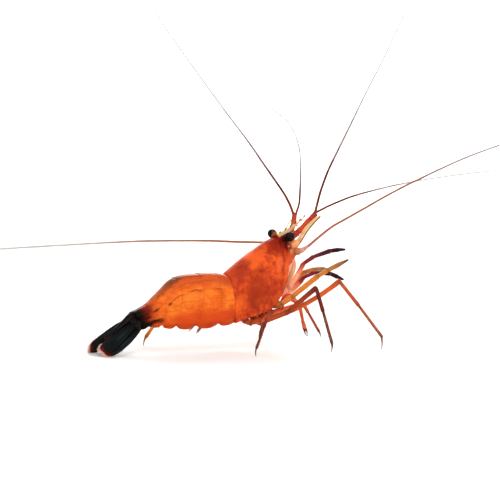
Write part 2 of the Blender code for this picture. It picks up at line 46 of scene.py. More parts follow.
# All places below are millimetres in the animal's own frame: +X to the head, +Y its left, floor at z = 0.
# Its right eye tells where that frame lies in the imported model.
eyes = {
    "centre": {"left": (7.6, 3, 25.2), "right": (8.45, -2.85, 24.95)},
    "stalkRoot": {"left": (7.8, 1, 24.5), "right": (7.8, -1, 24.3)}, "radius": 1.08, "corneaDepth": 1.14,
    # place along the stalk and radius there
    "stalkShape": [(-0.15, 0.6), (0, 0.74), (0.18, 0.72), (0.36, 0.76), (0.5, 0.84), (0.58, 0.86), (0.63, 0.8),
                   (0.66, 0.5)],
}
eyeLow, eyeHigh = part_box("eye_right")
shift = (eyeLow + eyeHigh) / 2 / mm - Vector(eyes["centre"]["right"])
shift.z = 0.0
sides = (("left", 1), ("right", -1))


def toLinear(hexColour):
    values = [int(hexColour[i:i + 2], 16) / 255 for i in (1, 3, 5)]
    return tuple(v / 12.92 if v < 0.04045 else ((v + 0.055) / 1.055) ** 2.4 for v in values) + (1.0,)


def smoothRow(rows, s):
    # the row at place s, on a smooth curve through the given rows
    last = len(rows) - 1
    i = min(max(int(math.floor(s)), 0), last - 1)
    t = s - i
    around = (rows[max(i - 1, 0)], rows[i], rows[i + 1], rows[min(i + 2, last)])
    return [0.5 * (2 * b + (c - a) * t + (2 * a - 5 * b + 4 * c - d) * t * t + (3 * b - a - 3 * c + d) * t ** 3)
            for a, b, c, d in zip(*around)]


def smoothRows(rows, spans):
    return [smoothRow(rows, k / spans) for k in range((len(rows) - 1) * spans + 1)]


def blend(a, b, t):
    return a + (b - a) * t


def ease(low, high, x):
    t = min(max((x - low) / (high - low), 0.0), 1.0)
    return t * t * (3 - 2 * t)


def bell(x, width):
    return math.exp(-(x / width) ** 2)


def even(count):
    # places from 0 to 1
    return [k / count for k in range(count + 1)]


def turns(count):
    # angles round a circle
    return [2 * math.pi * k / count for k in range(count)]


def mirrored(p, side):
    return Vector((p[0], p[1] * side, p[2]))


def heading(points, i):
    return (points[min(i + 1, len(points) - 1)] - points[max(i - 1, 0)]).normalized()


def lineOf(start, end, steps, bow=(0, 0, 0)):
    # points from start to end, bulging by bow halfway
    return [start.lerp(end, t) + Vector(bow) * (4 * t * (1 - t)) for t in steps]


def newShape():
    return {"points": [], "faces": [], "share": [], "across": []}


def spread(value, count):
    return list(value) if hasattr(value, "__len__") else [value] * count


def addRings(shape, rings, shares, across):
    # joins rings of points into a closed skin, with two marks for its colouring
    first, count = len(shape["points"]), len(rings[0])
    for ring, share, side in zip(rings, spread(shares, len(rings)), spread(across, len(rings))):
        shape["points"] += ring
        shape["share"] += spread(share, count)
        shape["across"] += spread(side, count)
    end = len(shape["points"])
    for a in range(first, end - count, count):
        shape["faces"] += [(a + k, a + (k + 1) % count, a + count + (k + 1) % count, a + count + k)
                           for k in range(count)]
    shape["faces"] += [tuple(range(first, first + count)), tuple(range(end - 1, end - count - 1, -1))]


def addTube(shape, centres, radii, shares, across, sides=12, squeeze=1.0, lean=(0.3, 0.1, 1.0)):
    rings = []
    for i, centre in enumerate(centres):
        along = heading(centres, i)
        side = along.cross(Vector(lean)).normalized()
        top = side.cross(along)
        rings.append([centre + (side * math.cos(a) * squeeze + top * math.sin(a)) * radii[i] for a in turns(sides)])
    addRings(shape, rings, shares, across)


def addSpike(shape, root, tip, radius, share, across, sides=8):
    steps = (0, 0.25, 0.5, 0.75, 0.93, 1)
    radii = [radius * max(1 - t ** 1.3, 0.06) for t in steps]
    addTube(shape, lineOf(root, tip, steps), radii, share, across, sides)


# place along a joint and its thickness there: narrow at the foot, with a lip at the end
jointProfile = ((-0.03, 0.5), (0, 0.76), (0.05, 0.88), (0.15, 0.94), (0.35, 0.97), (0.6, 1), (0.8, 1.03),
                (0.92, 1.1), (0.98, 1.08), (1.01, 0.9), (1.03, 0.55))


def addSegment(shape, start, end, radii, shares, squeeze=0.88, bow=(0, 0, 0), sides=14):
    # one joint of a limb
    places, profile = zip(*jointProfile)
    held = [min(max(t, 0), 1) for t in places]
    addTube(shape, lineOf(start, end, places, bow), [blend(*radii, h) * r for h, r in zip(held, profile)],
            [blend(*shares, h) for h in held], [bell(t, 0.1) + bell(1 - t, 0.09) for t in places], sides, squeeze)


def addJoints(shape, points, radii, joints):
    # each joint: its first and last point, how thick it is at both, its colour places, how far it is squeezed
    for first, last, foot, lip, start, end, squeeze in joints:
        ends = (radii[first] * foot, radii[last] * lip)
        addSegment(shape, points[first], points[last], ends, (start, end), squeeze)


def newObject(name, data):
    made = bpy.data.objects.new(name, data)
    bpy.context.scene.collection.objects.link(made)
    return made


def finishPiece(piece, slot, *nodes):
    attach(piece, "root")
    if nodes:
        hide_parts(*nodes)


def makePiece(node, shape, material, slot):
    mesh = bpy.data.meshes.new(node + "_skin")
    spots = [(p + shift) * mm for p in shape["points"]]
    for p in spots:
        p.z = max(p.z, 0.0)
    mesh.from_pydata(spots, [], shape["faces"])
    for label in ("share", "across"):
        mesh.attributes.new(label, "FLOAT", "POINT").data.foreach_set("value", shape[label])
    bm = bmesh.new()
    bm.from_mesh(mesh)
    bmesh.ops.recalc_face_normals(bm, faces=bm.faces)
    bm.to_mesh(mesh)
    bm.free()
    mesh.shade_smooth()
    mesh.materials.append(material)
    finishPiece(newObject(node + "_skin", mesh), slot, node)


def add(tree, kind, inputs=None, stops=(), **settings):
    made = tree.nodes.new(kind)
    for key, value in settings.items():
        setattr(made, key, value)
    for key, value in (inputs or {}).items():
        if isinstance(value, bpy.types.NodeSocket):
            tree.links.new(value, made.inputs[key])
        else:
            made.inputs[key].default_value = value
    for k, (place, colour) in enumerate(stops):
        known = made.color_ramp.elements
        element = known[k] if k < len(known) else known.new(place)
        element.position = place
        element.color = toLinear(colour)
    return made


def calc(tree, operation, *values):
    return add(tree, "ShaderNodeMath", dict(enumerate(values)), operation=operation).outputs[0]


def vectorCalc(tree, operation, *values):
    made = add(tree, "ShaderNodeVectorMath", dict(enumerate(values)), operation=operation)
    return made.outputs["Value" if operation == "LENGTH" else "Vector"]


def remap(tree, value, low, high, first, last, **settings):
    return add(tree, "ShaderNodeMapRange", dict(enumerate((value, low, high, first, last))), **settings).outputs[0]


def noise(tree, coords, scale, detail=2.0, roughness=0.5):
    inputs = {"Vector": coords, "Scale": scale, "Detail": detail, "Roughness": roughness}
    return add(tree, "ShaderNodeTexNoise", inputs).outputs


def cells(tree, coords, size):
    return add(tree, "ShaderNodeTexVoronoi", {"Vector": coords, "Scale": 1000 / size}).outputs["Distance"]


def mark(tree, label):
    return add(tree, "ShaderNodeAttribute", attribute_name=label).outputs["Fac"]


def ramp(tree, value, stops):
    return add(tree, "ShaderNodeValToRGB", {0: value}, stops).outputs[0]


def paint(tree, below, factor, tint, mode="MIX"):
    inputs = {0: factor, 6: below, 7: toLinear(tint)}
    return add(tree, "ShaderNodeMix", inputs, data_type="RGBA", blend_type=mode).outputs[2]


def driftingRamp(tree, label, coords, scale, detail, stray, stops):
    # colours along a piece, their borders wandering a little
    cloud = remap(tree, noise(tree, coords, scale, detail)[0], 0.3, 0.7, -stray, stray)
    return ramp(tree, calc(tree, "ADD", mark(tree, label), cloud), stops)


def startMaterial(name, look):
    material = bpy.data.materials.new(name)
    material.use_nodes = True
    tree = material.node_tree
    shader = tree.nodes["Principled BSDF"]
    for label, value in look.items():
        if label in shader.inputs:
            shader.inputs[label].default_value = value
    shader.inputs["Subsurface Radius"].default_value = (1.0, 0.35, 0.2)
    material.diffuse_color = toLinear(look["plain"])
    return material, tree, shader, add(tree, "ShaderNodeTexCoord").outputs["Object"]


def wire(tree, colour, shader):
    tree.links.new(colour, shader.inputs["Base Color"])


def surfaceDetail(tree, shader, look, coords):
    # fine pits over a slow swell, with the gloss a little uneven
    swell = noise(tree, coords, 1000 / look["swellSize"], 3.0)[0]
    relief = calc(tree, "ADD", calc(tree, "MULTIPLY", cells(tree, coords, look["pitSize"]), 0.35), swell)
    bump = add(tree, "ShaderNodeBump", {"Strength": look["bump"], "Distance": 0.08 * mm, "Height": relief})
    tree.links.new(bump.outputs[0], shader.inputs["Normal"])
    gloss = remap(tree, swell, 0.3, 0.7, look["Roughness"] - 0.06, look["Roughness"] + 0.08)
    tree.links.new(gloss, shader.inputs["Roughness"])


def shellMaterial(name, look):
    material, tree, shader, coords = startMaterial(name, look)
    spot = add(tree, "ShaderNodeCombineXYZ", {0: mark(tree, "share"), 1: mark(tree, "across")}).outputs[0]
    cloud = noise(tree, coords, 1000 / look["driftSize"], 4.0, 0.6)["Color"]
    moved = vectorCalc(tree, "MULTIPLY", vectorCalc(tree, "SUBTRACT", cloud, (0.5, 0.5, 0.5)), look["drift"])
    spot = vectorCalc(tree, "ADD", spot, moved)
    along = vectorCalc(tree, "MULTIPLY", coords, look["stretch"])
    colour = ramp(tree, noise(tree, along, 1000 / look["patchSize"], 5.0, 0.62)[0], look["ground"])
    for s, v, reachS, reachV, strength, tint in look["marks"]:
        away = vectorCalc(tree, "SUBTRACT", spot, (s, v, 0))
        far = vectorCalc(tree, "LENGTH", vectorCalc(tree, "MULTIPLY", away, (1 / reachS, 1 / reachV, 0)))
        mask = remap(tree, far, 0.35, 1.15, strength, 0.0, interpolation_type="SMOOTHSTEP")
        colour = paint(tree, colour, mask, tint)
    grain = remap(tree, noise(tree, coords, 1000 / look["grainSize"])[0], 0.35, 0.75, 0.0, look["grain"])
    colour = paint(tree, colour, grain, look["grainTint"], "MULTIPLY")
    dots = remap(tree, cells(tree, coords, look["dotSize"]), 0.18, 0.34, look["dots"], 0.0)
    wire(tree, paint(tree, colour, dots, look["dotTint"], "MULTIPLY"), shader)
    surfaceDetail(tree, shader, look, coords)
    return material


def limbMaterial(name, look):
    material, tree, shader, coords = startMaterial(name, look)
    colour = driftingRamp(tree, "share", coords, 1000 / 1.5, 3.0, 0.03, look["along"])
    joints = calc(tree, "MULTIPLY", mark(tree, "across"), look["jointStrength"])
    dots = remap(tree, cells(tree, coords, 0.32), 0.12, 0.4, look["dots"], 0.0)
    wire(tree, paint(tree, paint(tree, colour, joints, look["jointTint"]), dots, look["dotTint"]), shader)
    surfaceDetail(tree, shader, look, coords)
    return material


# what wet chitin shares on every piece: each look below names only what differs; sizes in mm
chitin = {
    "Roughness": 0.28, "IOR": 1.38, "Specular IOR Level": 0.3, "Subsurface Weight": 0.12,
    "Subsurface Scale": 0.0005, "bump": 0.3, "pitSize": 0.22, "swellSize": 1.2, "dots": 0.45, "jointStrength": 0.5,
    "stretch": (1, 1, 1),
}

carapace = {
    # dorsal x, z, ventral x, z, half width; rear edge first, the last two close the face
    "rows": [(-6.2, 16.7, -5, 6.2, 3.8), (-3.7, 18.5, -2.5, 7.1, 4.3), (-1.2, 20.3, 0.2, 7.9, 4.5),
             (1.5, 22.1, 3.6, 9.2, 4.35), (4.1, 23.7, 6.5, 11.8, 3.8), (5.9, 24.5, 8.3, 15.3, 3.1),
             (6.9, 24.7, 9.2, 18.9, 2.3), (7.75, 24.2, 9.75, 20.4, 1.55), (8.5, 23.2, 9.6, 21.6, 0.75)],
    "profile": [(0, 1), (0.34, 0.955), (0.64, 0.8), (0.86, 0.52), (0.985, 0.14), (1, -0.25), (0.97, -0.62),
                (0.88, -1), (0.74, -0.99), (0.62, -0.9), (0, -0.88)],
    # how far the rear margin laps over the abdomen, in rows
    "rearLip": 0.16, "grooveDepth": 0.13,
    # the small spine below each eye
    "eyeSpine": [(8.7, 2.2, 21.7), (10.2, 2.55, 22.15)],
    "look": {
        **chitin, "plain": "#cf4a26", "Roughness": 0.25, "Specular IOR Level": 0.02, "bump": 0.35, "swellSize": 1.6,
        "patchSize": 1.7, "driftSize": 2.2, "drift": (1.2, 0.6, 0),
        "ground": [(0.34, "#972c18"), (0.44, "#b93e20"), (0.54, "#cf4a22"), (0.66, "#ee6228")],
        # place along the shell, height on it (1 back, -1 lower edge), reach both ways, strength, colour
        "marks": [(1, 0.72, 1, 0.35, 0.75, "#ac3521"), (1.9, -0.2, 1.1, 0.8, 0.75, "#a2341b"),
                  (2.35, 0.86, 0.85, 0.28, 0.85, "#f4652a"), (-0.2, -0.32, 1.45, 0.45, 0.95, "#ee6426"),
                  (0, 0.95, 0.9, 0.3, 0.6, "#c04624"), (3.3, -0.35, 0.7, 0.35, 0.5, "#b0341f"),
                  (4.25, 0.12, 0.65, 0.28, 0.75, "#f46a38"), (3.6, -0.9, 0.8, 0.25, 0.55, "#dc5a2e"),
                  (5.3, -0.55, 0.8, 0.55, 0.85, "#ec6a34"), (6.1, -0.9, 0.7, 0.6, 0.8, "#f7a070"),
                  (4.2, 0.88, 0.75, 0.5, 0.85, "#8e2014"), (5.4, 0.8, 1, 0.62, 0.95, "#6c1410"),
                  (6.6, 0.5, 0.9, 0.62, 0.85, "#7a1c12"), (5.5, 0.42, 0.85, 0.36, 0.75, "#961f12"),
                  (0.45, 0.22, 0.12, 0.09, 0.7, "#8c2424"), (10.5, 0, 1.9, 4, 1, "#ecc68e"),
                  (14, 0, 1.9, 4, 1, "#5c5834")],
        "grainSize": 0.5, "grain": 0.14, "grainTint": "#b8503c", "dotSize": 0.42, "dots": 0.22,
        "dotTint": "#b04030",
    },
}
# chitin hardened with lime, kept wet: smooth with fine pits, a clear gloss and some light passing through
carapaceShell = shellMaterial("wetReefShrimpCarapace", carapace["look"])


def sectionPoint(row, u, v, size=1):
    # row: dorsal x, z, ventral x, z, half width
    dorsal, ventral = Vector((row[0], 0, row[1])), Vector((row[2], 0, row[3]))
    return (dorsal + ventral) / 2 + ((dorsal - ventral) / 2 * v + Vector((0, row[4] * u, 0))) * size


def fullProfile(half):
    return half + [[-u, v] for u, v in reversed(half[1:-1])]


def grooveAt(s, v):
    # the cervical groove runs down and forward, the long branchial one back along the flank
    neck = bell(s - 4.3 + 1.1 * v, 0.16) * ease(0.0, 0.25, v) * ease(1.0, 0.75, v)
    flank = bell(v - 0.12 - 0.06 * (s - 3), 0.05) * ease(0.6, 1.6, s) * ease(5.4, 4.6, s)
    return carapace["grooveDepth"] * max(neck, 0.7 * flank)


def buildCarapace():
    shape, rows, lip, profile = newShape(), carapace["rows"], carapace["rearLip"], carapace["profile"]
    profile = fullProfile(smoothRows(profile, 5))
    rings = []
    inside = ((0.9, 0.9, 0.84), (0.1, 0.95, 0.9), (0.02 - lip, 0.985, 0.975), (-lip, 0.99, 0.985))
    for s, size, low in inside:
        row = smoothRow(rows, s)
        rings.append([sectionPoint(row, u, v, blend(size, low, ease(0.3, -0.5, v))) for u, v in profile])
    outside = [-lip + k * 0.1 for k in range(int((8 + lip) / 0.1) + 1)] + [8.0]
    for s in outside:
        row = smoothRow(rows, s)
        rim = 0.001 * bell(s + lip, 0.12)
        rings.append([sectionPoint(row, u * (1 + rim - grooveAt(s, v) / max(row[4], 1.0)), v + 0.02 * rim)
                      for u, v in profile])
    addRings(shape, rings, [s for s, size, low in inside] + outside, [[v for u, v in profile]] * len(rings))
    for word, side in sides:  # the small spine below each eye
        addSpike(shape, *(mirrored(p, side) for p in carapace["eyeSpine"]), 0.34, 5.5, 0.2)
    addRostrum(shape)
    makePiece("carapace", shape, carapaceShell, "carapace_shell")


rostrum = {
    "brow": (5.6, 0, 24.75), "bend": (11.4, 0, 27.2), "tip": (15.2, 0, 30.1), "underRoot": (7, 0, 23.6),
    "underBend": (11.2, 0, 26), "upperTeeth": 7, "lowerTeeth": 2, "toothHeight": 0.42, "halfThickness": 0.24,
}


def rostrumEdges(t):
    edges = []
    for root, bend in (("brow", "bend"), ("underRoot", "underBend")):
        root, bend, tip = (Vector(rostrum[k]) for k in (root, bend, "tip"))
        edges.append(root.lerp(bend, t).lerp(bend.lerp(tip, t), t))
    return edges


def addRostrum(shape):
    rings, steps = [], even(26)
    for t in steps:
        top, bottom = rostrumEdges(t)
        thick = rostrum["halfThickness"] * (1 - 0.75 * t)
        ring = []
        for a in turns(12):
            up = 0.5 + 0.5 * math.cos(a)
            wide = math.sin(a) * thick * (1 + 1.1 * bell(up - 0.45, 0.12) * (1 - t))
            ring.append(bottom.lerp(top, up) + Vector((0, wide, 0)))
        rings.append(ring)
    addRings(shape, rings, [10 + t if t > 0.1 else 5.7 for t in steps], [0.0 if t > 0.1 else 0.95 for t in steps])
    above = [(0, (k + 0.45) / (rostrum["upperTeeth"] + 0.5)) for k in range(rostrum["upperTeeth"])]
    for edge, t in above + [(1, 0.62 + 0.17 * k) for k in range(rostrum["lowerTeeth"])]:
        root, ahead = rostrumEdges(t)[edge], rostrumEdges(t + 0.02)[edge]
        lean, rise = (ahead - root).normalized(), 1 - 2 * edge
        tip = root + lean * 0.55 + Vector((-0.2, 0, 0.98)) * rise * rostrum["toothHeight"]
        addSpike(shape, root - lean * 0.22 - Vector((0, 0, 0.1 * rise)), tip, 0.2, 14.0, 0.0)


abdomen = {
    # as in the carapace, then how far down the belly wall lies
    "rows": [(-6.4, 16.5, -5.4, 5.9, 3.7, 0.45), (-9, 16.85, -9.2, 5.4, 3.95, 0.45),
             (-13.2, 16.85, -13.4, 5.1, 4, 0.45), (-18.6, 16.05, -17.9, 5.1, 3.75, 0.5),
             (-22.2, 13.1, -21.2, 5.3, 3.2, 0.58), (-25.4, 10.4, -24.1, 5.8, 2.65, 0.8),
             (-28.9, 8.8, -27.1, 5.1, 2, 0.96)],
    # how far each joint leans back at the flanks
    "jointLean": [0, 0.1, 0.36, 0.5, 0.55, 0.55, 0], "plateRounding": [0.17, 0.13, 0.14, 0.15, 0.18, 0.05],
    "profile": [(0, 1), (0.38, 0.95), (0.7, 0.76), (0.91, 0.45), (1, 0.08), (0.99, -0.32), (0.92, -0.7), (0.8, -1)],
    "plateInset": 0.16,
    "look": {
        **chitin, "plain": "#ee6a28", "Roughness": 0.24, "Specular IOR Level": 0.04, "Subsurface Scale": 0.0006,
        "bump": 0.28, "pitSize": 0.2, "swellSize": 1.4, "patchSize": 1.1, "stretch": (0.45, 1, 1), "driftSize": 1.6,
        "drift": (0.5, 0.2, 0),
        "ground": [(0.32, "#d2521c"), (0.44, "#e4621f"), (0.54, "#ef7226"), (0.68, "#f98830")],
        "marks": [(2.9, 0.2, 1.5, 0.4, 0.5, "#fb8732"), (1.5, -0.6, 3.4, 0.34, 0.85, "#da4a1c"),
                  (2.5, -0.95, 4, 0.26, 0.8, "#b8391a"), (1.5, 0.9, 3, 0.42, 0.85, "#ce5426"),
                  (0.1, 0.82, 1.1, 0.4, 0.8, "#c04824"), (2.8, 1.03, 3.4, 0.17, 0.7, "#8e4020"),
                  (0, -0.7, 0.8, 0.4, 0.5, "#c23c20"), (3.2, 1.03, 0.75, 0.17, 0.7, "#5f3a22"),
                  (4.45, -0.5, 0.5, 0.3, 0.85, "#7a2010"), (4.95, 0.3, 0.5, 0.9, 0.6, "#b2401f"),
                  (5.35, 0.8, 0.5, 0.5, 0.85, "#8c1e0e"), (5.15, -0.72, 0.62, 0.46, 0.98, "#1c0806"),
                  (5.5, 0.5, 0.6, 0.7, 0.9, "#78180c"), (6.25, 0, 1.05, 5, 1, "#0e0807"),
                  (6.25, 0, 1.05, 5, 1, "#0b0707"), (6.2, -0.55, 1.35, 1, 1, "#0e0807"),
                  (6.2, -0.55, 1.35, 1, 0.9, "#0b0707"), (5.3, 0.02, 0.3, 0.13, 0.85, "#200a08"),
                  (4.75, 0.36, 0.36, 0.09, 0.9, "#5a160a"), (4.75, -0.46, 0.5, 0.18, 0.92, "#2a0e08"),
                  (3.8, 0.28, 0.18, 0.07, 0.9, "#5a1a0c"), (3.3, 0.36, 0.6, 0.035, 0.7, "#8a3414"),
                  (2.3, 0.44, 0.6, 0.035, 0.65, "#8a3414"), (1.3, 0.44, 0.5, 0.03, 0.6, "#98401a"),
                  (3, 0.72, 1, 0.035, 0.5, "#a0441a"), (1.8, 0.74, 0.7, 0.03, 0.45, "#a8481c"),
                  (2.9, 0.06, 1.4, 0.03, 0.4, "#c04e18")],
        "grainSize": 0.45, "grain": 0.16, "grainTint": "#d87858", "dotSize": 0.38, "dots": 0.22,
        "dotTint": "#c06040",
    },
}
# chitin rings of the tail, thinner than the carapace: bright, smooth, light glowing through the muscle below
abdomenShell = shellMaterial("wetReefShrimpAbdomen", abdomen["look"])


def leaningJoint(joint, v):
    return joint + abdomen["jointLean"][joint] * min(max((0.5 - v) / 1.5, 0.0), 1.0) ** 2


def carapaceWidthAt(v):
    rows = smoothRows(carapace["profile"][:8], 5)
    for (u0, v0), (u1, v1) in zip(rows, rows[1:]):
        if v1 <= v <= v0:
            return blend(u0, u1, (v0 - v) / max(v0 - v1, 1e-6))
    return rows[-1][0]


def somiteRing(index, t, topSize, lowSize):
    held = min(max(t, 0.0), 1.0)
    belly = smoothRow(abdomen["rows"], index + held)[5]
    lift = abdomen["plateRounding"][index] * (1 - math.sin(math.pi * held)) ** 1.5
    fitted = ease(0.6, 0.12, t) if index == 0 else 0.0  # the first ring takes the carapace's section at its front
    half = [(blend(u, carapaceWidthAt(v), fitted), v + lift * ease(-0.45, -1.0, v))
            for u, v in smoothRows(abdomen["profile"], 5)]
    inner, tip = half[-1][0] - abdomen["plateInset"], half[-1][1]
    half += [(inner, min(tip + 0.04, -belly)), (inner * 0.92, min(-belly, tip + 0.3) if belly > 0.9 else -belly),
             (inner * 0.46, -belly), (0.0, -belly)]
    outline = fullProfile(half)
    ring = []
    for u, v in outline:
        row = smoothRow(abdomen["rows"], blend(leaningJoint(index, v), leaningJoint(index + 1, v), t))
        ring.append(sectionPoint(row, u, v, blend(topSize, lowSize, ease(0.1, -0.2, v))))
    return ring, [v for u, v in outline]


def buildSomites():
    # place along the ring, then its size above and on the flanks: the front slides under the ring ahead
    front = [(-0.2, 0.92), (-0.16, 0.945), (-0.08, 0.965), (0.0, 0.98), (0.05, 0.986), (0.1, 0.991), (0.17, 0.996)]
    front += [(0.25 + 0.08 * k, 1.0) for k in range(9)] + [(0.95, 1.001)]
    rear = [(1.0, 1.003), (1.035, 1.003), (1.055, 0.998), (1.055, 0.988), (0.95, 0.968), (0.75, 0.95)]
    lastRear = [(0.95, 0.968), (0.75, 0.95), (1.0, 1.0), (1.0, 0.95), (0.9, 0.85)]
    lapped = {-0.2: 0.975, -0.16: 1.005, -0.08: 1.012}  # the second one's side plates also lap over those ahead
    for index in range(6):
        rings, places, heights = [], [], []
        for t, size in front + (lastRear if index == 5 else rear):
            low = size
            if index == 0:
                size = max(size, 0.997)
                low = size * (1 - 0.03 * ease(0.85, 1.0, t))
            if index == 1 and t <= 0.1:
                low = lapped.get(t, 1.01)
            ring, across = somiteRing(index, t, size, low)
            rings.append(ring)
            places.append(index + t)
            heights.append(across)
        shape = newShape()
        addRings(shape, rings, places, heights)
        makePiece(f"somite_{index + 1}", shape, abdomenShell, "abdomen_shell")


tailFan = {
    "root": (-28.4, 0, 6.3), "drop": 37,
    # place along it and half width
    "telson": [(-0.55, 1.15), (1, 1.12), (3.2, 0.86), (5.6, 0.58), (6.7, 0.36)],
    # place along the telson and outward
    "spines": [(3.2, 0.5), (5, 0.36)],
    # place along, up, radius, colour place
    "stub": [(-1.9, 0.9, 0.9, 0), (-1.2, 1.05, 1.15, 0.02), (-0.4, 1.2, 1.15, 0.05), (0.5, 1.45, 0.85, 0.1),
             (1.3, 1.65, 0.3, 0.15)],
    # place along, outward, up and half width; each side ends its blades with the tips
    "endopod": [(-0.3, 1.2, 0.7, 0.7), (1.6, 1.6, 0.66, 1.36), (4.2, 1.95, 0.55, 1.64), (6.4, 2.2, 0.38, 1.7)],
    "exopod": [(-0.1, 1.8, -0.8, 0.7), (1.6, 2.4, -0.8, 0.98), (4.2, 2.85, -0.82, 1.28), (6.8, 3.1, -0.72, 1.36)],
    "tips": {"endopod": (2.35, 0.2, 1.7), "exopod": (3.1, -0.5, 1.26)},
    # root, tip and radius of the stubs the blades hinge on
    "hinges": [((-1.7, 0.7, 0.1), (0.9, 2, -0.45), 0.95), ((-1.7, 0.6, 0.5), (0.8, 1.4, 0.55), 0.85)],
    "fringe": 1.8,
    # half thickness, keel, camber
    "blade": (0.17, 0.08, 0.12),
    # the blades end before their reach, as the hairs go on; the last two say how steeply the blades hang
    "left": {"reach": 11.2, "end": 9.85, "spread": 1.1, "lift": 0.065, "wide": 1.24, "slopes": (1, 1.1)},
    "right": {"reach": 11.1, "end": 9.5, "spread": 1, "lift": 0.05, "wide": 1, "slopes": (0.48, 0.62)},
    "look": {
        **chitin, "plain": "#14181a", "Roughness": 0.42, "Specular IOR Level": 0.08, "Subsurface Weight": 0,
        "Subsurface Scale": 0.0006, "pitSize": 0.2, "swellSize": 1.1, "patchSize": 1.8, "driftSize": 1.2,
        "drift": (0.22, 0.5, 0),
        "ground": [(0.32, "#060a0a"), (0.5, "#0b1213"), (0.64, "#16120e"), (0.8, "#1e1a16")],
        # the last mark is a painted blue-grey sheen across the middle of each blade
        "marks": [(1.02, 0, 0.1, 2.2, 0.7, "#741c12"), (0.5, -1, 0.6, 0.16, 0.35, "#4a120e"),
                  (0.05, 0, 0.16, 1.6, 0.4, "#200e0c"), (0.55, 0.35, 0.22, 0.3, 0.35, "#2c3a3c")],
        "grainSize": 0.4, "grain": 0.25, "grainTint": "#806050", "dotSize": 0.34, "dots": 0.3, "dotTint": "#906858",
    },
}
# the same clear-coated chitin, loaded with dark pigment until it looks black, with a thin red edge and a painted
# blue-grey sheen
tailShell = shellMaterial("darkReefShrimpTailFan", tailFan["look"])
tailDrop = math.radians(tailFan["drop"])
tailBack = Vector((-math.cos(tailDrop), 0, -math.sin(tailDrop)))
tailRise = Vector((-math.sin(tailDrop), 0, math.cos(tailDrop)))


def tailPoint(along, out, up):
    return Vector(tailFan["root"]) + tailBack * along + tailRise * up + Vector((0, out, 0))


def addBlade(shape, rows, across, halfThickness, keel, camber, sides=20, roundFrom=0.78):
    # a thin leaf with a ridge above, arched across, rounded off from roundFrom on
    edges = {1: [], -1: []}
    rings, count, around = [], 30, turns(sides)
    dense = [smoothRow(rows, t * (len(rows) - 1)) for t in even(count)]
    centres = [Vector(row[:3]) for row in dense]
    for k, row in enumerate(dense):
        t = k / count
        along = heading(centres, k)
        wide = (across - along * across.dot(along)).normalized()
        top = wide.cross(along)
        if top.z < 0:
            top = -top
        half = max(row[3] * math.sqrt(max(1 - max((t - roundFrom) / (1 - roundFrom), 0) ** 2, 0.0)), 0.05)
        ring = []
        for a in around:
            x, lobe = math.cos(a), math.sin(a)
            thick = halfThickness * (1 - 0.5 * t) * (1 - x * x) ** 0.3
            ridge = keel * bell(x, 0.16) * (1 - t) if lobe > 0 else 0.0
            lift = thick * (1 if lobe > 0 else -1) * min(abs(lobe) * 2, 1) + ridge - camber * x * x * half
            ring.append(centres[k] + wide * (x * half) + top * lift)
        rings.append(ring)
        for word in (1, -1):
            edges[word].append((centres[k] + wide * (word * half) - top * camber * half, along, wide * word, t))
    addRings(shape, rings, even(count), [[math.cos(a) for a in around]] * len(rings))
    return edges


def fringeLines(lines, edges, fromShare, reach, which=(1, -1)):
    # where the hairs stand along a blade's edges, and where they point
    for word in which:
        line = []
        for place, along, out, t in edges[word]:
            if t >= fromShare:
                turn = ease(0.75, 1.0, t)
                aim = (along * (0.75 + turn) + out * (1 - turn) * 0.85).normalized()
                line.append((place - out * 0.04, aim, reach * (0.35 + 0.65 * ease(fromShare, fromShare + 0.35, t))))
        lines.append(line)


def buildTailFan():
    lines, shape = [], newShape()
    rows = [(*tailPoint(along, 0, 1.9 - 0.05 * along), half) for along, half in tailFan["telson"]]
    addBlade(shape, rows, Vector((0, 1, 0)), 0.3, 0.0, 0.34, roundFrom=0.93)
    places, heights, radii, shares = zip(*tailFan["stub"])
    addTube(shape, [tailPoint(along, 0, up) for along, up in zip(places, heights)], radii, shares, 0.0, 18)
    for along, out in tailFan["spines"]:
        for word, side in sides:
            root = tailPoint(along, out * side, 2.02 - 0.05 * along)
            addSpike(shape, root, root + tailBack * 0.7 + tailRise * 0.12, 0.08, 0.5, 0.9)
    makePiece("telson", shape, tailShell, "tail_fan")
    for word, side in sides:
        own = tailFan[word]
        for name, slope in zip(("endopod", "exopod"), own["slopes"]):
            across = Vector((0, side * math.cos(slope), 0)) - tailRise * math.sin(slope)
            wide = own["wide"] if name == "endopod" else 1.0
            rows = [(*tailPoint(along, out * own["spread"] * side, up + own["lift"] * along),
                     half * blend(1.0, wide, along / own["reach"]))
                    for along, out, up, half in [*tailFan[name], (own["end"], *tailFan["tips"][name])]]
            shape = newShape()
            edges = addBlade(shape, rows, across, *tailFan["blade"], roundFrom=0.87)
            if name == "exopod":
                # the small spine where the stiff outer edge ends, and the stubs both blades hinge on
                place, along, out, t = edges[1][22]
                addSpike(shape, place - along * 0.5 - out * 0.1, place + along * 0.5 + out * 0.12, 0.12, 0.5, 1.0)
                for *ends, girth in tailFan["hinges"]:
                    root, tip = (tailPoint(a, out * own["spread"] * side, up) for a, out, up in ends)
                    addSegment(shape, root, tip, (girth, girth * 0.95), (0.05, 0.1), 0.95)
            fringeLines(lines, edges, 0.86, tailFan["fringe"], (-1,) if name == "endopod" else (1, -1))
            makePiece(f"uropod_{name}_{word}", shape, tailShell, "tail_fan")
    return lines


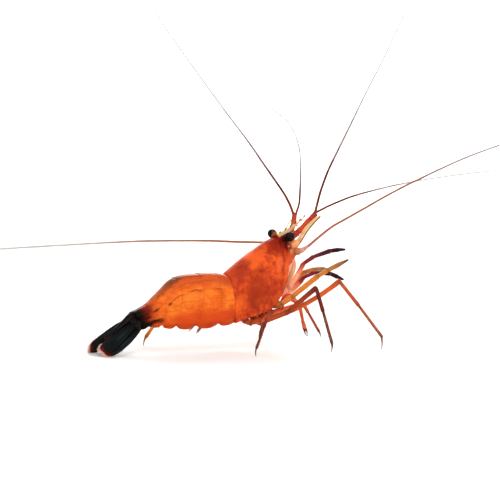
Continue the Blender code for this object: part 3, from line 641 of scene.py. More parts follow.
eyeLooks = {
    "cornea": {
        "plain": "#0c0a08", "Roughness": 0.1, "IOR": 1.33, "Specular IOR Level": 0.16, "Subsurface Weight": 0,
    },
    # pigment seen through each cornea
    # painted highlight patches over each cornea: olive on the left eye; dark red on the right, partly the eye's own
    # pigment
    "glintAndPigment": {"left": "#5c5420", "right": "#3c1018"},
    # real facets are near 0.04 mm, drawn coarser to show
    "facetSize": 0.09,
    "stalk": {
        **chitin, "plain": "#3c0f0a", "Roughness": 0.36, "Specular IOR Level": 0.1, "Subsurface Weight": 0.1,
        "bump": 0.25, "pitSize": 0.2, "swellSize": 1, "jointTint": "#5a1810", "dotTint": "#3a0d0a",
    },
    "stalkAlong": {
        "left": [(0, "#b8501f"), (0.45, "#a8521f"), (0.7, "#5c3216"), (1, "#1e140c")],
        "right": [(0, "#8c1c12"), (0.3, "#4c0f0b"), (0.6, "#260908"), (1, "#140706")],
    },
}


def makeCornea(word):
    # a lens-covered eye, wet and almost black, with painted olive and dark red highlight patches
    material, tree, shader, coords = startMaterial("facettedShrimpCornea_" + word, eyeLooks["cornea"])
    cloud = noise(tree, coords, 1400.0, 3.0)[0]
    deep = ramp(tree, cloud, [(0.35, "#050403"), (0.6, "#17110a"), (0.8, "#2c230f")])
    colour = paint(tree, deep, remap(tree, mark(tree, "share"), 0.34, 0.12, 0.0, 0.85), "#4a140e")
    # painted highlight: the patch colour laid on wherever the noise is high
    wire(tree, paint(tree, colour, remap(tree, cloud, 0.5, 0.72, 0.0, 0.8), eyeLooks["glintAndPigment"][word]), shader)
    inputs = {"Strength": 0.12, "Distance": 0.02 * mm, "Height": cells(tree, coords, eyeLooks["facetSize"])}
    tree.links.new(add(tree, "ShaderNodeBump", inputs).outputs[0], shader.inputs["Normal"])
    return material


def buildEyes():
    places, radii = zip(*eyes["stalkShape"])
    for word, side in sides:
        centre, root = Vector(eyes["centre"][word]), Vector(eyes["stalkRoot"][word])
        aim = (centre - root).normalized()
        wide = aim.orthogonal().normalized()
        top = aim.cross(wide)
        rings = []
        for k in range(25):
            a = math.pi * (k + 0.35) / 24.7
            depth, girth = -math.cos(a) * eyes["corneaDepth"], math.sin(a) * eyes["radius"]
            rings.append([centre + aim * depth + (wide * math.cos(b) + top * math.sin(b)) * girth
                          for b in turns(40)])
        shape = newShape()
        addRings(shape, rings, even(24), 0.0)
        makePiece(f"eye_{word}", shape, makeCornea(word), "cornea")
        shape = newShape()
        addTube(shape, lineOf(root, centre, places), radii, [max(t, 0) for t in places], 0.0, 20)
        look = {**eyeLooks["stalk"], "along": eyeLooks["stalkAlong"][word]}
        skin = limbMaterial("smoothShrimpEyestalk_" + word, look)  # smooth chitin, shading to the eye
        makePiece(f"eyestalk_{word}", shape, skin, "eyestalk")


antennules = {
    "left": [(8.35, 1.05, 22.8), (9.9, 1.2, 24.2), (11.2, 1.4, 25.6), (12.3, 1.8, 27), (12.9, 2.35, 28.4),
             (13.3, 2.85, 29.8)],
    "right": [(8.35, -1.05, 22.8), (10, -1.3, 24.5), (11.2, -1.65, 25.75), (12.4, -2.15, 26.95),
              (13.75, -2.6, 28.6), (15.1, -2.95, 30.1)],
    "radii": [0.68, 0.8, 0.74, 0.72, 0.66, 0.6],
    "look": {
        **chitin, "plain": "#e2582c", "Subsurface Weight": 0.14, "bump": 0.25, "pitSize": 0.2,
        "along": [(0, "#7c1810"), (0.22, "#a02a1a"), (0.45, "#cc4a28"), (0.8, "#cc4a28"), (1, "#7c1c16")],
        "jointTint": "#8a201a", "dotTint": "#a02818",
    },
}
antenna = {
    "base": [(8.75, 2.6, 21.6), (9.7, 3.2, 21.6), (10.7, 3.9, 21.75), (11.5, 4.5, 22.4), (12.1, 4.95, 23)],
    "baseRadii": [1, 1, 0.72, 0.46, 0.34], "scaleStub": [(8.9, 2.3, 22.5), (10.5, 3.3, 23.75)],
    # a small pale lump below each eye, coloured pale as a painted highlight
    "paleHighlightLump": (8.35, 2.95, 22.75),
    # the broad first joint under the eye, from the cheek up to the orbit: x, y, z, radius
    "cheek": [(8.2, 1.7, 17.9, 0.3), (8.6, 1.85, 18.8, 0.7), (9, 2.1, 19.9, 1), (9.2, 2.3, 21, 1.25),
              (9.15, 2.3, 22, 1.25), (8.8, 2.1, 22.9, 0.95), (8.5, 1.9, 23.6, 0.4)],
    "scaleOuter": [(10.2, 3.7, 22.8), (10.9, 4.1, 23.75), (12.15, 4.65, 26.1), (13.45, 4.95, 27.8),
                   (14.5, 4.95, 28.8), (15.3, 4.8, 29.5)],
    "scaleInner": [(9.95, 2.45, 23.4), (10.6, 2.65, 24.45), (11.85, 3.3, 26.8), (13.2, 3.85, 28.35),
                   (14.3, 4.05, 29.25), (15.2, 4.45, 29.7)],
    # where the hairs start along each scale
    "fringeFrom": {"left": 0.62, "right": 0.3},
    # place along the stub, radius, colour place
    "stubShape": [(-0.4, 0.6, 0.2), (-0.2, 0.95, 0.215), (0, 1.12, 0.24), (0.3, 1.12, 0.262), (0.6, 1, 0.32),
                  (0.85, 0.85, 0.38), (1, 0.7, 0.42), (1.15, 0.4, 0.44)],
    "baseLook": {
        **chitin, "plain": "#d05a3a", "Subsurface Weight": 0.14, "bump": 0.25, "pitSize": 0.2,
        "along": [(0, "#e8652c"), (0.1, "#e0582a"), (0.15, "#b83a1e"), (0.19, "#7c1c14"), (0.24, "#84241a"),
                  (0.27, "#e88a50"), (0.4, "#f6ae74"), (0.5, "#e88a4c"), (0.62, "#b8642e"), (0.72, "#b87048"),
                  (0.8, "#dc9a84"), (1, "#d69484")],
        "jointTint": "#5c2c18", "dotTint": "#b4552c", "dots": 0.35,
    },
    "scaleLook": {
        **chitin, "plain": "#fbc58c", "Roughness": 0.3, "IOR": 1.4, "Specular IOR Level": 0.35,
        "Subsurface Weight": 0.45, "Subsurface Scale": 0.0009, "Transmission Weight": 0.12, "bump": 0.25,
        "patchSize": 1.6, "driftSize": 1.2, "drift": (0.15, 0.2, 0),
        "ground": [(0.32, "#f6b87c"), (0.5, "#fbc88f"), (0.66, "#fdd6a6"), (0.8, "#fbd9b4")],
        "marks": [(0.9, 1, 0.7, 0.75, 0.95, "#42361a"), (0.3, 1.02, 0.6, 0.6, 0.8, "#6a4c20"),
                  (0, 0, 0.2, 1.5, 0.6, "#e88a50"), (1, 0.3, 0.12, 0.8, 0.7, "#4c3c1c")],
        "grainSize": 0.5, "grain": 0.15, "grainTint": "#f0b080", "dotSize": 0.4, "dots": 0.2, "dotTint": "#d08850",
    },
}


def buildAntennules():
    skin = limbMaterial("smoothShrimpAntennule", antennules["look"])  # jointed chitin tube, glossy, blood-orange
    radii = antennules["radii"]
    for word, side in sides:
        shape = newShape()
        points = [Vector(p) for p in smoothRows(antennules[word], 4)]
        for first, last in ((0, 2), (2, 4), (4, 5)):
            centres = points[first * 4:last * 4 + 1]
            count = len(centres) - 1
            shares = even(count)
            girth = [blend(radii[first], radii[last], t) * (0.8 + 0.2 * ease(0, 0.2, t) + 0.1 * ease(0.7, 0.95, t))
                     for t in shares] + [radii[last] * 0.6]
            places = [(first * 4 + k) / (len(points) - 1) for k in (*range(count + 1), count)]
            marks = [bell(t, 0.12) + bell(1 - t, 0.1) for t in shares] + [1.0]
            centres.append(centres[-1] + (centres[-1] - centres[-2]).normalized() * 0.1)
            addTube(shape, centres, girth, places, marks, 18, 0.9)
        root = points[0] + Vector((0.1, 0.55 * side, 0.3))  # the scale-like spine at its foot
        addSpike(shape, root, points[4] + Vector((0.5, 0.75 * side, 0.5)), 0.34, 0.3, 0.2, 10)
        makePiece(f"antennule_{word}", shape, skin, "feeler_base")


def addAntennaScale(shape, word, side):
    outer, inner = ([mirrored(p, side) for p in smoothRows(antenna[k], 6)] for k in ("scaleOuter", "scaleInner"))
    rings, line, last, around = [], [], len(outer) - 1, turns(24)
    for k, (a, b) in enumerate(zip(outer, inner)):
        t = k / last
        along, wide = heading(outer, k), (a - b).normalized()
        top = wide.cross(along) * side
        trimmed = b.lerp(a, 0.1 * ease(0.1, 0.4, t))
        middle, half = (a + trimmed) / 2, (a - trimmed).length / 2
        ring = []
        for angle in around:
            x, lobe = math.cos(angle), math.sin(angle)
            thick = 0.13 + 0.1 * ease(0.55, 0.95, x) + 0.06 * bell(x - 0.35, 0.12)
            height = thick * (1 - x ** 4) ** 0.5 * (1 if lobe > 0 else -1) * min(abs(lobe) * 2.5, 1)
            ring.append(middle + wide * (x * half) + top * (height - 0.12 * x * x * half))
        rings.append(ring)
        if t > antenna["fringeFrom"][word]:
            out = (trimmed - a).normalized()
            line.append((trimmed - out * 0.05, (along * (1 + t) + out * (1.1 - t * 0.6)).normalized(), 0.55))
    addRings(shape, rings, even(last), [[math.cos(a) for a in around]] * len(rings))
    addSpike(shape, outer[-5].lerp(inner[-5], 0.1), outer[-1] + (outer[-1] - outer[-3]) * 0.1, 0.16, 0.95, 1.0)
    return line


def buildAntennaBases():
    skin = limbMaterial("smoothShrimpAntennaBase", antenna["baseLook"])  # stout jointed chitin, pinkish orange
    scaleSkin = shellMaterial("clearShrimpAntennaScale", antenna["scaleLook"])  # thin stiff blade that light passes
    radii, lines = antenna["baseRadii"], []
    places, thick, shares = zip(*antenna["stubShape"])
    for word, side in sides:
        shape = newShape()
        points = [mirrored(p, side) for p in antenna["base"]]
        addJoints(shape, points, radii, [(k, k + 1, 1, 1, 0.5 + k / 8, 0.625 + k / 8, 0.95) for k in range(4)])
        root, tip = (mirrored(p, side) for p in antenna["scaleStub"])
        addTube(shape, lineOf(root, tip, places), thick, shares, 0.0, 18)
        cheek = smoothRows(antenna["cheek"], 4)
        addTube(shape, [mirrored(row, side) for row in cheek], [row[3] for row in cheek],
                [0.24 * t for t in even(len(cheek) - 1)], 0.0, 20, lean=(1, 0, 0.1))
        addSpike(shape, points[1] + Vector((0, 0.6 * side, -0.2)), points[1] + Vector((1.3, side, -0.1)),
                 0.28, 0.45, 0.3)
        paleHighlightLump = mirrored(antenna["paleHighlightLump"], side)  # a small pale lump below the eye, its pale colour a painted highlight
        addTube(shape, [paleHighlightLump + Vector((0.05, 0.16 * side, 0.08)) * k for k in (-2, -1, 0, 1, 1.6)],
                [0.2, 0.28, 0.3, 0.24, 0.1], 0.9, 0.5)
        makePiece(f"antenna_base_{word}", shape, skin, "feeler_base")
        shape = newShape()
        lines.append(addAntennaScale(shape, word, side))
        makePiece(f"antenna_scale_{word}", shape, scaleSkin, "clear_shell")
    return lines


feelers = {
    "paths": {
        "antennule_left_outer": [(12.85, 3.05, 30.3), (12.2, 3.5, 32.1), (11, 4.3, 34.5), (8.8, 5.4, 37.8),
                                 (6.5, 6.4, 41.1), (4.2, 7.4, 44.5), (1.7, 8.2, 47.7), (-1.4, 9, 51.4),
                                 (-9.2, 10.8, 61), (-15.8, 12.3, 69.4), (-19.5, 13.2, 74.8)],
        "antennule_left_inner": [(13.75, 2.6, 30.25), (14.6, 2.9, 33), (14.9, 3.5, 39.7), (15, 4.5, 44.8),
                                 (13.4, 5.7, 49.5), (10.8, 6.8, 52.1), (6.8, 8, 54.7)],
        "antennule_right_outer": [(14.85, -3.25, 30.75), (15.2, -3.4, 32.5), (15.6, -4, 35.4), (16.8, -4.8, 39.8),
                                  (18.2, -5.6, 43.5), (20.9, -6.8, 50), (24.4, -7.8, 57.8), (28.2, -8.7, 65.6),
                                  (34, -10, 78.6), (36.2, -10.8, 85)],
        "antennule_right_inner": [(15.6, -2.7, 30.45), (19.7, -3.4, 32.4), (25.7, -4.8, 34.7), (36.4, -7.5, 37.5),
                                  (47.5, -10, 39.5), (58.5, -11.8, 41), (66, -12.8, 41.8)],
        "antenna_left": [(12.5, 5.4, 22.9), (13.6, 7, 23.2), (12.8, 9, 22.9), (8.8, 10.6, 22.75), (3, 12.2, 22.8),
                         (-2.9, 13.8, 22.9), (-12.4, 16.9, 22.7), (-21.9, 20, 22.2), (-36.6, 25, 21),
                         (-46.9, 28.5, 20.1), (-53.5, 30.6, 19.5)],
        "antenna_right": [(12.35, -5.1, 23.2), (14.4, -6, 25.2), (17, -6.9, 27.4), (20, -8, 29.3), (23.2, -9, 31.2),
                          (27.4, -10.4, 33.8), (33.6, -12, 37.2), (46.1, -15, 43.2), (56.1, -17, 47),
                          (66, -18.8, 50.4)],
    },
    # at the root and at the tip
    "radii": {"outer": (0.34, 0.17), "inner": (0.29, 0.17), "antenna": (0.33, 0.2)},
    # real rings are 0.2 to 0.5 mm
    "ringLength": 0.5, "ringSwell": 0.12, "band": 0.3,
    "antennuleLook": {
        **chitin, "plain": "#8a4b4b", "Roughness": 0.4, "IOR": 1.4, "Specular IOR Level": 0.08,
        "Subsurface Weight": 0,
        "along": [(0, "#803c30"), (0.06, "#6c3226"), (0.11, "#56261c"), (0.2, "#70464a"), (0.32, "#988c86"),
                  (0.43, "#b8b2b0"), (0.55, "#c8c4c2"), (1, "#cecac8")],
        "bandTint": "#4c2226",
    },
    "antennaLook": {
        **chitin, "plain": "#d08a72", "Roughness": 0.4, "IOR": 1.4, "Specular IOR Level": 0.08,
        "Subsurface Weight": 0, "bandTint": "#8c5444",
    },
    "antennaAlong": {
        "left": [(0, "#ac6c50"), (0.1, "#a87052"), (0.3, "#a0745a"), (0.5, "#a88a78"), (0.62, "#bcb2aa"),
                 (1, "#cac6c2")],
        "right": [(0, "#b4705c"), (0.1, "#a46850"), (0.3, "#966850"), (0.45, "#946a58"), (0.56, "#8c7a70"),
                  (0.75, "#908a86"), (1, "#a8a4a0")],
    },
}


def feelerMaterial(name, look):
    material, tree, shader, coords = startMaterial(name, look)
    colour = driftingRamp(tree, "share", coords, 500.0, 2.0, 0.06, look["along"])
    band = remap(tree, mark(tree, "across"), -0.2, -1.0, 0.0, feelers["band"])
    wire(tree, paint(tree, colour, band, look["bandTint"]), shader)
    return material


def newTree(name, **inputs):
    tree = bpy.data.node_groups.new(name, "GeometryNodeTree")
    for label, (kind, value) in inputs.items():
        socket = tree.interface.new_socket(name=label, in_out="INPUT", socket_type="NodeSocket" + kind)
        if value is not None:
            socket.default_value = value
    tree.interface.new_socket(name="Geometry", in_out="OUTPUT", socket_type="NodeSocketGeometry")
    return tree, add(tree, "NodeGroupInput").outputs


def chain(tree, geometry, *steps):
    # passes a geometry through one node after another
    for kind, inputs, settings in steps:
        geometry = add(tree, "GeometryNode" + kind, {0: geometry, **inputs}, **settings).outputs[0]
    return geometry


def endTree(tree, geometry, skin):
    done = chain(tree, geometry, ("RealizeInstances", {}, {}), ("SetMaterial", {"Material": skin}, {}))
    tree.links.new(done, add(tree, "NodeGroupOutput").inputs[0])
    return tree


def ringedFeelerTree():
    # a tapering tube along a path, swelling at each ring
    tree, given = newTree("ringedFeeler", Path=("Geometry", None), RootRadius=("Float", 0.25 * mm),
                          TipRadius=("Float", 0.1 * mm), RingLength=("Float", 0.5 * mm), RingSwell=("Float", 0.12),
                          Skin=("Material", None))
    quarter = calc(tree, "DIVIDE", given["RingLength"], 4.0)
    place = add(tree, "GeometryNodeSplineParameter").outputs
    wave = calc(tree, "SINE", calc(tree, "MULTIPLY", place["Index"], math.pi / 2))
    swell = calc(tree, "MULTIPLY_ADD", wave, given["RingSwell"], 1.0)
    taper = calc(tree, "POWER", place["Factor"], 0.75)
    radius = calc(tree, "MULTIPLY", remap(tree, taper, 0, 1, given["RootRadius"], given["TipRadius"]), swell)
    marked = chain(tree, given["Path"], ("MeshToCurve", {}, {}),
                   ("ResampleCurve", {"Length": quarter}, {"mode": "LENGTH"}),
                   ("SetCurveRadius", {"Radius": radius}, {}),
                   ("StoreNamedAttribute", {"Name": "share", "Value": place["Factor"]}, {}),
                   ("StoreNamedAttribute", {"Name": "across", "Value": wave}, {}))
    circle = add(tree, "GeometryNodeCurvePrimitiveCircle", {"Resolution": 8, "Radius": 1.0}).outputs[0]
    tube = add(tree, "GeometryNodeCurveToMesh", {"Curve": marked, "Profile Curve": circle, "Fill Caps": True})
    if "Scale" in tube.inputs:
        tree.links.new(radius, tube.inputs["Scale"])
    return endTree(tree, chain(tree, tube.outputs[0], ("SetShadeSmooth", {}, {})), given["Skin"])


def runTree(name, mesh, tree, **values):
    # runs a node tree on a guide and keeps the result as a plain mesh
    holder = newObject(name + ".guide", mesh)
    modifier = holder.modifiers.new("tree", "NODES")
    modifier.node_group = tree
    for item in tree.interface.items_tree:
        if item.in_out == "INPUT" and item.name in values:
            modifier[item.identifier] = values[item.name]
    holder.update_tag()
    bpy.context.view_layer.update()
    result = bpy.data.meshes.new_from_object(holder.evaluated_get(bpy.context.evaluated_depsgraph_get()))
    result.name = name
    holder.modifiers.clear()
    bpy.data.objects.remove(holder)
    return newObject(name, result)


def buildFeelers():
    whip = feelerMaterial("ringedShrimpAntennuleWhip", feelers["antennuleLook"])  # ringed chitin, purple brown
    skins = {"antenna_" + word: feelerMaterial("ringedShrimpAntennaWhip_" + word,  # salmon, greying outward
                                               {**feelers["antennaLook"], "along": feelers["antennaAlong"][word]})
             for word, side in sides}
    tree = ringedFeelerTree()
    for name, path in feelers["paths"].items():
        points = [(Vector(p) + shift) * mm for p in smoothRows(path, 10)]
        points.insert(0, points[0] - (points[1] - points[0]).normalized() * 0.5 * mm)
        guide = bpy.data.meshes.new(name + ".path")
        guide.from_pydata(points, [(k, k + 1) for k in range(len(points) - 1)], [])
        root, tip = feelers["radii"]["antenna" if name.startswith("antenna_") else name.split("_")[-1]]
        piece = runTree(name + "_whip", guide, tree, RootRadius=root * mm, TipRadius=tip * mm,
                        RingLength=feelers["ringLength"] * mm, RingSwell=feelers["ringSwell"],
                        Skin=skins.get(name, whip))
        finishPiece(piece, "feeler", name + "_flagellum")


underParts = {
    # x, y, z, radius along each palp, then how flat it is
    "palps": [([(8.6, 0.45, 13, 0.3), (9.6, 0.95, 14.6, 0.7), (10.5, 1.1, 16.6, 0.76), (10.9, 0.85, 18.3, 0.6),
                (10.9, 0.45, 19.4, 0.16)],
               0.6),
              ([(8.5, 0.35, 13.4, 0.35), (9.3, 0.6, 15.2, 0.62), (9.8, 0.6, 17.4, 0.6), (10.1, 0.4, 19, 0.3)], 0.6),
              ([(9, 1.05, 14.2, 0.2), (9.9, 1.5, 15.8, 0.36), (10.9, 1.45, 17.2, 0.34), (11.35, 1.1, 18.9, 0.26),
                (11.2, 0.9, 20, 0.1)],
               0.8),
              ([(8.9, 0.95, 19.6, 0.42), (9.9, 1.3, 19.9, 0.5), (10.7, 1.1, 19.4, 0.42), (11, 0.6, 18.7, 0.16)],
               0.8),
              ([(8.3, 1.2, 15.6, 0.3), (9, 1.7, 17, 0.6), (9.6, 1.7, 18.8, 0.6), (9.9, 1.4, 20.2, 0.3)], 0.7)],
    # where the mouth bristles stand
    "bristleLine": [(10.6, 1.1, 15.6), (11.15, 1.2, 17.3), (11.35, 1, 18.9)],
    # length, slope in degrees, distance from the middle, drop of the root below the belly
    "pleopods": [(3, 36, 1.35, 0.84), (4.95, 46, 1.35, 0.84), (2.85, 28, 1.3, 1.28), (2.6, 8, 1.1, 1),
                 (2, -4, 0.95, 0.84)],
    # place along a swimming leg's leaf and its share of the width
    "leaf": [(-0.08, 0.5), (0.2, 0.95), (0.5, 1), (0.85, 0.75), (1, 0.5)],
    # x, z, half width
    "sternum": [(-3.8, 6.6, 0.5), (-2.3, 6.9, 0.8), (0.3, 7.6, 0.85), (3.3, 8.8, 0.85), (5.4, 10.3, 0.8),
                (6, 11.1, 0.5)],
    "mouthLook": {
        **chitin, "plain": "#fbb58c", "Roughness": 0.3, "IOR": 1.4, "Specular IOR Level": 0.35,
        "Subsurface Weight": 0.4, "Subsurface Scale": 0.0006, "pitSize": 0.2, "swellSize": 1,
        "along": [(0, "#f08e5c"), (0.35, "#feb888"), (0.8, "#fecca4"), (1, "#fed6b8")], "jointTint": "#e88a5c",
        "jointStrength": 0.25, "dotTint": "#e88c60", "dots": 0.12,
    },
    "bellyLook": {
        **chitin, "plain": "#d0694a", "Roughness": 0.35, "IOR": 1.4, "Subsurface Weight": 0.2,
        "Subsurface Scale": 0.0006, "pitSize": 0.25, "swellSize": 1,
        "along": [(0, "#8c3a22"), (0.4, "#b8542c"), (1, "#cf6a3e")], "jointTint": "#6e2a1a", "dotTint": "#8c2c18",
    },
    "pleopodLook": {
        **chitin, "plain": "#c8603a", "Roughness": 0.3, "IOR": 1.4, "Specular IOR Level": 0.35,
        "Subsurface Weight": 0.25, "Subsurface Scale": 0.0006, "bump": 0.25, "swellSize": 1,
        "along": [(0, "#d8703a"), (0.5, "#c07444"), (0.8, "#b09078"), (1, "#b4a8a0")], "jointTint": "#7a2818",
        "dotTint": "#8a2c1a",
    },
}


def buildMouthparts():
    skin = limbMaterial("softShrimpMouthparts", underParts["mouthLook"])  # thin pale chitin, moist, light passes it
    shape, lines = newShape(), []
    for word, side in sides:
        for path, squeeze in underParts["palps"]:  # x, y, z and radius along each palp
            dense = smoothRows(path, 4)
            shares = even(len(dense) - 1)
            addTube(shape, [mirrored(row, side) for row in dense], [row[3] for row in dense], shares,
                    [bell(t * 3 % 1, 0.16) for t in shares], 12, squeeze, lean=(0.0, 1.0, 0.2))
        lines.append([(mirrored(p, side), Vector((0.9, 0.25 * side, 0.35)).normalized(), 0.55)
                      for p in smoothRows(underParts["bristleLine"], 6)])
    makePiece("mouthparts", shape, skin, "clear_shell")
    return lines


def buildUnderside():
    skin = limbMaterial("softShrimpSternum", underParts["bellyLook"])  # soft pleated cuticle between the leg roots
    rows = smoothRows(underParts["sternum"], 8)
    pleats = [0.06 * math.sin(k * math.pi / 4) for k in range(len(rows))]
    rings = [[Vector((x, math.cos(a) * (half + pleat) * 1.5, z + math.sin(a) * (0.42 + pleat))) for a in turns(18)]
             for (x, z, half), pleat in zip(rows, pleats)]
    shape = newShape()
    addRings(shape, rings, even(len(rows) - 1), [0.6 if pleat < -0.03 else 0.0 for pleat in pleats])
    makePiece("sternum", shape, skin, "underside")


def buildPleopods():
    skin = limbMaterial("clearShrimpPleopod", underParts["pleopodLook"])  # leaf-thin chitin, greying to the tip
    lines = []
    for index, (length, degrees, out, drop) in enumerate(underParts["pleopods"]):
        nearby = (smoothRow(abdomen["rows"], index + 0.5), smoothRow(abdomen["rows"], index + 0.6))
        root, behind = (sectionPoint(row, 0, -row[5]) for row in nearby)
        slope = math.radians(degrees) + math.atan2(root.z - behind.z, root.x - behind.x)
        for word, side in sides:
            along = Vector((-math.cos(slope), 0.05 * side, -math.sin(slope)))
            base = root + Vector((0.5, out * side, -drop))
            stub = base + along * length * 0.34
            shape = newShape()
            addSegment(shape, base + Vector((0.1, 0, drop - 0.1)), stub, (0.46, 0.4), (0.0, 0.35), sides=16)
            for lean, reach, wide in ((0.16, 0.96, 0.4), (-0.2, 0.86, 0.34)):
                tip = base + along * length * reach + Vector((0, lean * side, 0))
                rows = [(*stub.lerp(tip, t), wide * w) for t, w in underParts["leaf"]]
                edges = addBlade(shape, rows, Vector((0.15 * side, 1, 0)).normalized(), 0.1, 0.03, 0.12, 12, 0.6)
                fringeLines(lines, edges, 0.3, min(0.6, length * 0.14))
            makePiece(f"pleopod_{index + 1}_{word}", shape, skin, "underside")
    return lines


legs = {
    # leg root, basis, ischium, middle of the merus, knee, carpus end, propodus end, tip
    "walking": {
        "pereopod_3_right": [(1.6, -1.95, 7.4), (3.4, -3.4, 7), (7.3, -5, 8.3), (12, -7, 10.9), (18, -9, 15.4),
                             (22.8, -10, 10), (28.9, -11, 2.9), (28.95, -11, 0)],
        "pereopod_4_right": [(-0.4, -1.95, 6.9), (1.3, -3.9, 6.2), (6.3, -6.6, 8.6), (8.2, -7.3, 10.5),
                             (12.1, -8.6, 14), (13.2, -10, 8.9), (15.1, -11.2, 1.9), (14.9, -11.2, 0)],
        "pereopod_5_right": [(-2.4, -1.95, 6.6), (-1.2, -3.8, 6.1), (-0.9, -7, 6.8), (-1.2, -9.4, 7.9),
                             (-1.9, -11.4, 9), (-3, -11.5, 6.1), (-4.7, -11.5, 1.7), (-4.8, -11.5, 0)],
        "pereopod_3_left": [(1.6, 1.95, 7.4), (3.4, 3.3, 7), (9.2, 5, 7.1), (15, 6.8, 7.9), (20.4, 8.5, 8.6),
                            (22.4, 9.2, 6.4), (27, 11, 1.5), (27.9, 11.4, 0)],
        "pereopod_4_left": [(-0.4, 1.95, 6.9), (0.9, 3.8, 6.3), (3, 5.8, 8.2), (5.3, 7.4, 10.4), (7.6, 8.8, 12.2),
                            (10.8, 9.4, 6.6), (9.7, 9.9, 1.8), (9.7, 10, 0)],
        "pereopod_5_left": [(-2.4, 1.95, 6.6), (-2.9, 3.9, 5.7), (-6, 5.8, 8), (-9, 7.4, 10.2), (-12, 8.8, 11.6),
                            (-16.6, 9.4, 6.9), (-19.7, 10.4, 1.9), (-20, 10.8, 0)],
    },
    "walkingRadii": [0.9, 0.66, 0.54, 0.54, 0.5, 0.42, 0.34, 0.1],
    # legs thinner or thicker than the rest
    "slim": {"5_right": 0.82, "5_left": 1.12},
    "clawed": {
        "pereopod_1_right": [(5.2, -1.95, 9.75), (6.4, -3.5, 10), (8.5, -4.3, 11.5), (10.5, -4.5, 13),
                             (15.2, -4.7, 16.2), (17.4, -4.9, 17.4), (20.9, -5, 18.9), (23.2, -5, 19.85)],
        "pereopod_1_left": [(5.2, 1.95, 9.9), (6.8, 3.5, 9.9), (12, 3.9, 11.8), (15.6, 4.1, 14.2),
                            (17.8, 4.3, 16.4), (20.4, 4.6, 16.9), (23.6, 4.9, 16.9), (25, 5, 16.7)],
        "pereopod_2_right": [(3.5, -1.95, 8.4), (4.8, -2.3, 8.1), (7.3, -2.6, 8.8), (10.9, -3.3, 11.5),
                             (11.6, -3.6, 9), (12, -4.1, 6), (12.5, -4.3, 4.4), (13, -4.4, 2.8)],
        "pereopod_2_left": [(3.5, 1.95, 8.4), (5, 2.1, 8.1), (9.6, 1.4, 9.6), (13.2, 1, 11.5), (14.2, 0.9, 8.9),
                            (15.1, 0.8, 6), (15.6, 0.8, 4.4), (16, 0.8, 3)],
    },
    "clawedRadii": {
        "1": [0.85, 0.62, 0.6, 0.64, 0.56, 0.46, 0.56, 0.27], "2": [0.75, 0.54, 0.46, 0.42, 0.34, 0.34, 0.44, 0.25],
    },
    # place along the claw's palm and its share of the radius
    "palm": [(-0.02, 0.5), (0.03, 0.72), (0.15, 0.9), (0.4, 1), (0.7, 1.02), (0.9, 0.98), (1, 0.8), (1.04, 0.45)],
    # how far the fingers of each pair stand apart
    "gape": {"1": 0, "2": 0.16}, "fingerTaper": {"1": 0.45, "2": 0.68},
    "feeding": {
        "maxilliped_3_right": [(7.1, -1.75, 12), (8.8, -2.3, 13.2), (10.9, -2.8, 16.4), (12.3, -3, 18.9),
                               (14.9, -3, 20.4), (19.4, -3, 21.7), (21.6, -3, 21.95), (23.6, -3, 22)],
        "maxilliped_3_left": [(7.1, 1.75, 12), (8.8, 2.1, 11.9), (12.5, 2.3, 12), (16.1, 2.4, 15.2),
                              (18.9, 2.5, 16.3), (23.5, 2.5, 16.1), (25.6, 2.5, 15.3), (27.4, 2.5, 14.6)],
    },
    "feedingRadii": [0.66, 0.58, 0.52, 0.48, 0.5, 0.54, 0.52], "bristleReach": 0.5,
    "surface": {**chitin, "plain": "#c8502c", "Specular IOR Level": 0.12},
    "frontLook": {
        "along": [(0, "#9c4420"), (0.2, "#dc6a30"), (0.5, "#d8602a"), (0.62, "#b8502a"), (0.82, "#9c4628"),
                  (0.92, "#84402a"), (1, "#5e4c42")],
        "jointTint": "#54160e", "dotTint": "#a02a16",
    },
    "rearLook": {
        "along": [(0, "#9a4220"), (0.2, "#b04a26"), (0.45, "#963c22"), (0.6, "#6c261c"), (0.85, "#74301f"),
                  (1, "#54443c")],
        "jointTint": "#3c100c", "dotTint": "#7c1c12",
    },
    "hindLook": {
        "along": [(0, "#a84a26"), (0.3, "#cc5a30"), (0.52, "#d0603a"), (0.62, "#8a3422"), (0.85, "#6e2c20"),
                  (1, "#54443c")],
        "jointTint": "#4c160e", "dotTint": "#8c2416",
    },
    "farHindLook": {
        "along": [(0, "#a84a26"), (0.3, "#c8582c"), (0.57, "#c4582a"), (0.71, "#d87a34"), (0.84, "#e08c3c"),
                  (0.92, "#c07030"), (1, "#3c2a18")],
        "jointTint": "#7c3418", "dotTint": "#b0501f",
    },
    "clawLook": {
        "along": [(0, "#b86030"), (0.25, "#e8863a"), (0.5, "#da7c34"), (0.75, "#b8763a"), (0.88, "#8c5c34"),
                  (1, "#44301e")],
        "jointTint": "#5c4a22", "dotTint": "#a0521f",
    },
    "pickLook": {
        "along": [(0, "#b8502c"), (0.3, "#e2683c"), (0.6, "#e06438"), (0.84, "#d8603a"), (0.88, "#6a1c14"),
                  (1, "#3c1410")],
        "jointTint": "#5e1a12", "dotTint": "#a8321c",
    },
    "feedingLook": {
        "along": [(0, "#f6a07c"), (0.3, "#f9b08c"), (0.38, "#ea7c58"), (0.45, "#8c1c16"), (0.52, "#7d2a35"),
                  (0.66, "#4a1820"), (0.8, "#2a0e12"), (1, "#1e0a0e")],
        "jointTint": "#7c1c16", "dotTint": "#6a1818",
    },
}


def addMerus(shape, points, radii):
    # the long thigh, bowed through its middle point
    start, middle, end = points[2:5]
    bow = middle - start.lerp(end, (middle - start).length / (end - start).length)
    addSegment(shape, start, end, (radii[2] * 1.05, radii[4] * 1.1), (0.29, 0.57), 0.8, bow * 0.9)


def addTipClaw(shape, start, end, radius, shares, hook, taper=0.75):
    steps = (0, 0.15, 0.35, 0.6, 0.8, 0.93, 1)
    addTube(shape, lineOf(start, end, steps, hook), [radius * (1 - taper * t) for t in steps],
            [blend(*shares, t) for t in steps], 0.0, 12, 0.8)


def legMaterial(name, look):
    return limbMaterial(name, {**legs["surface"], **legs[look]})


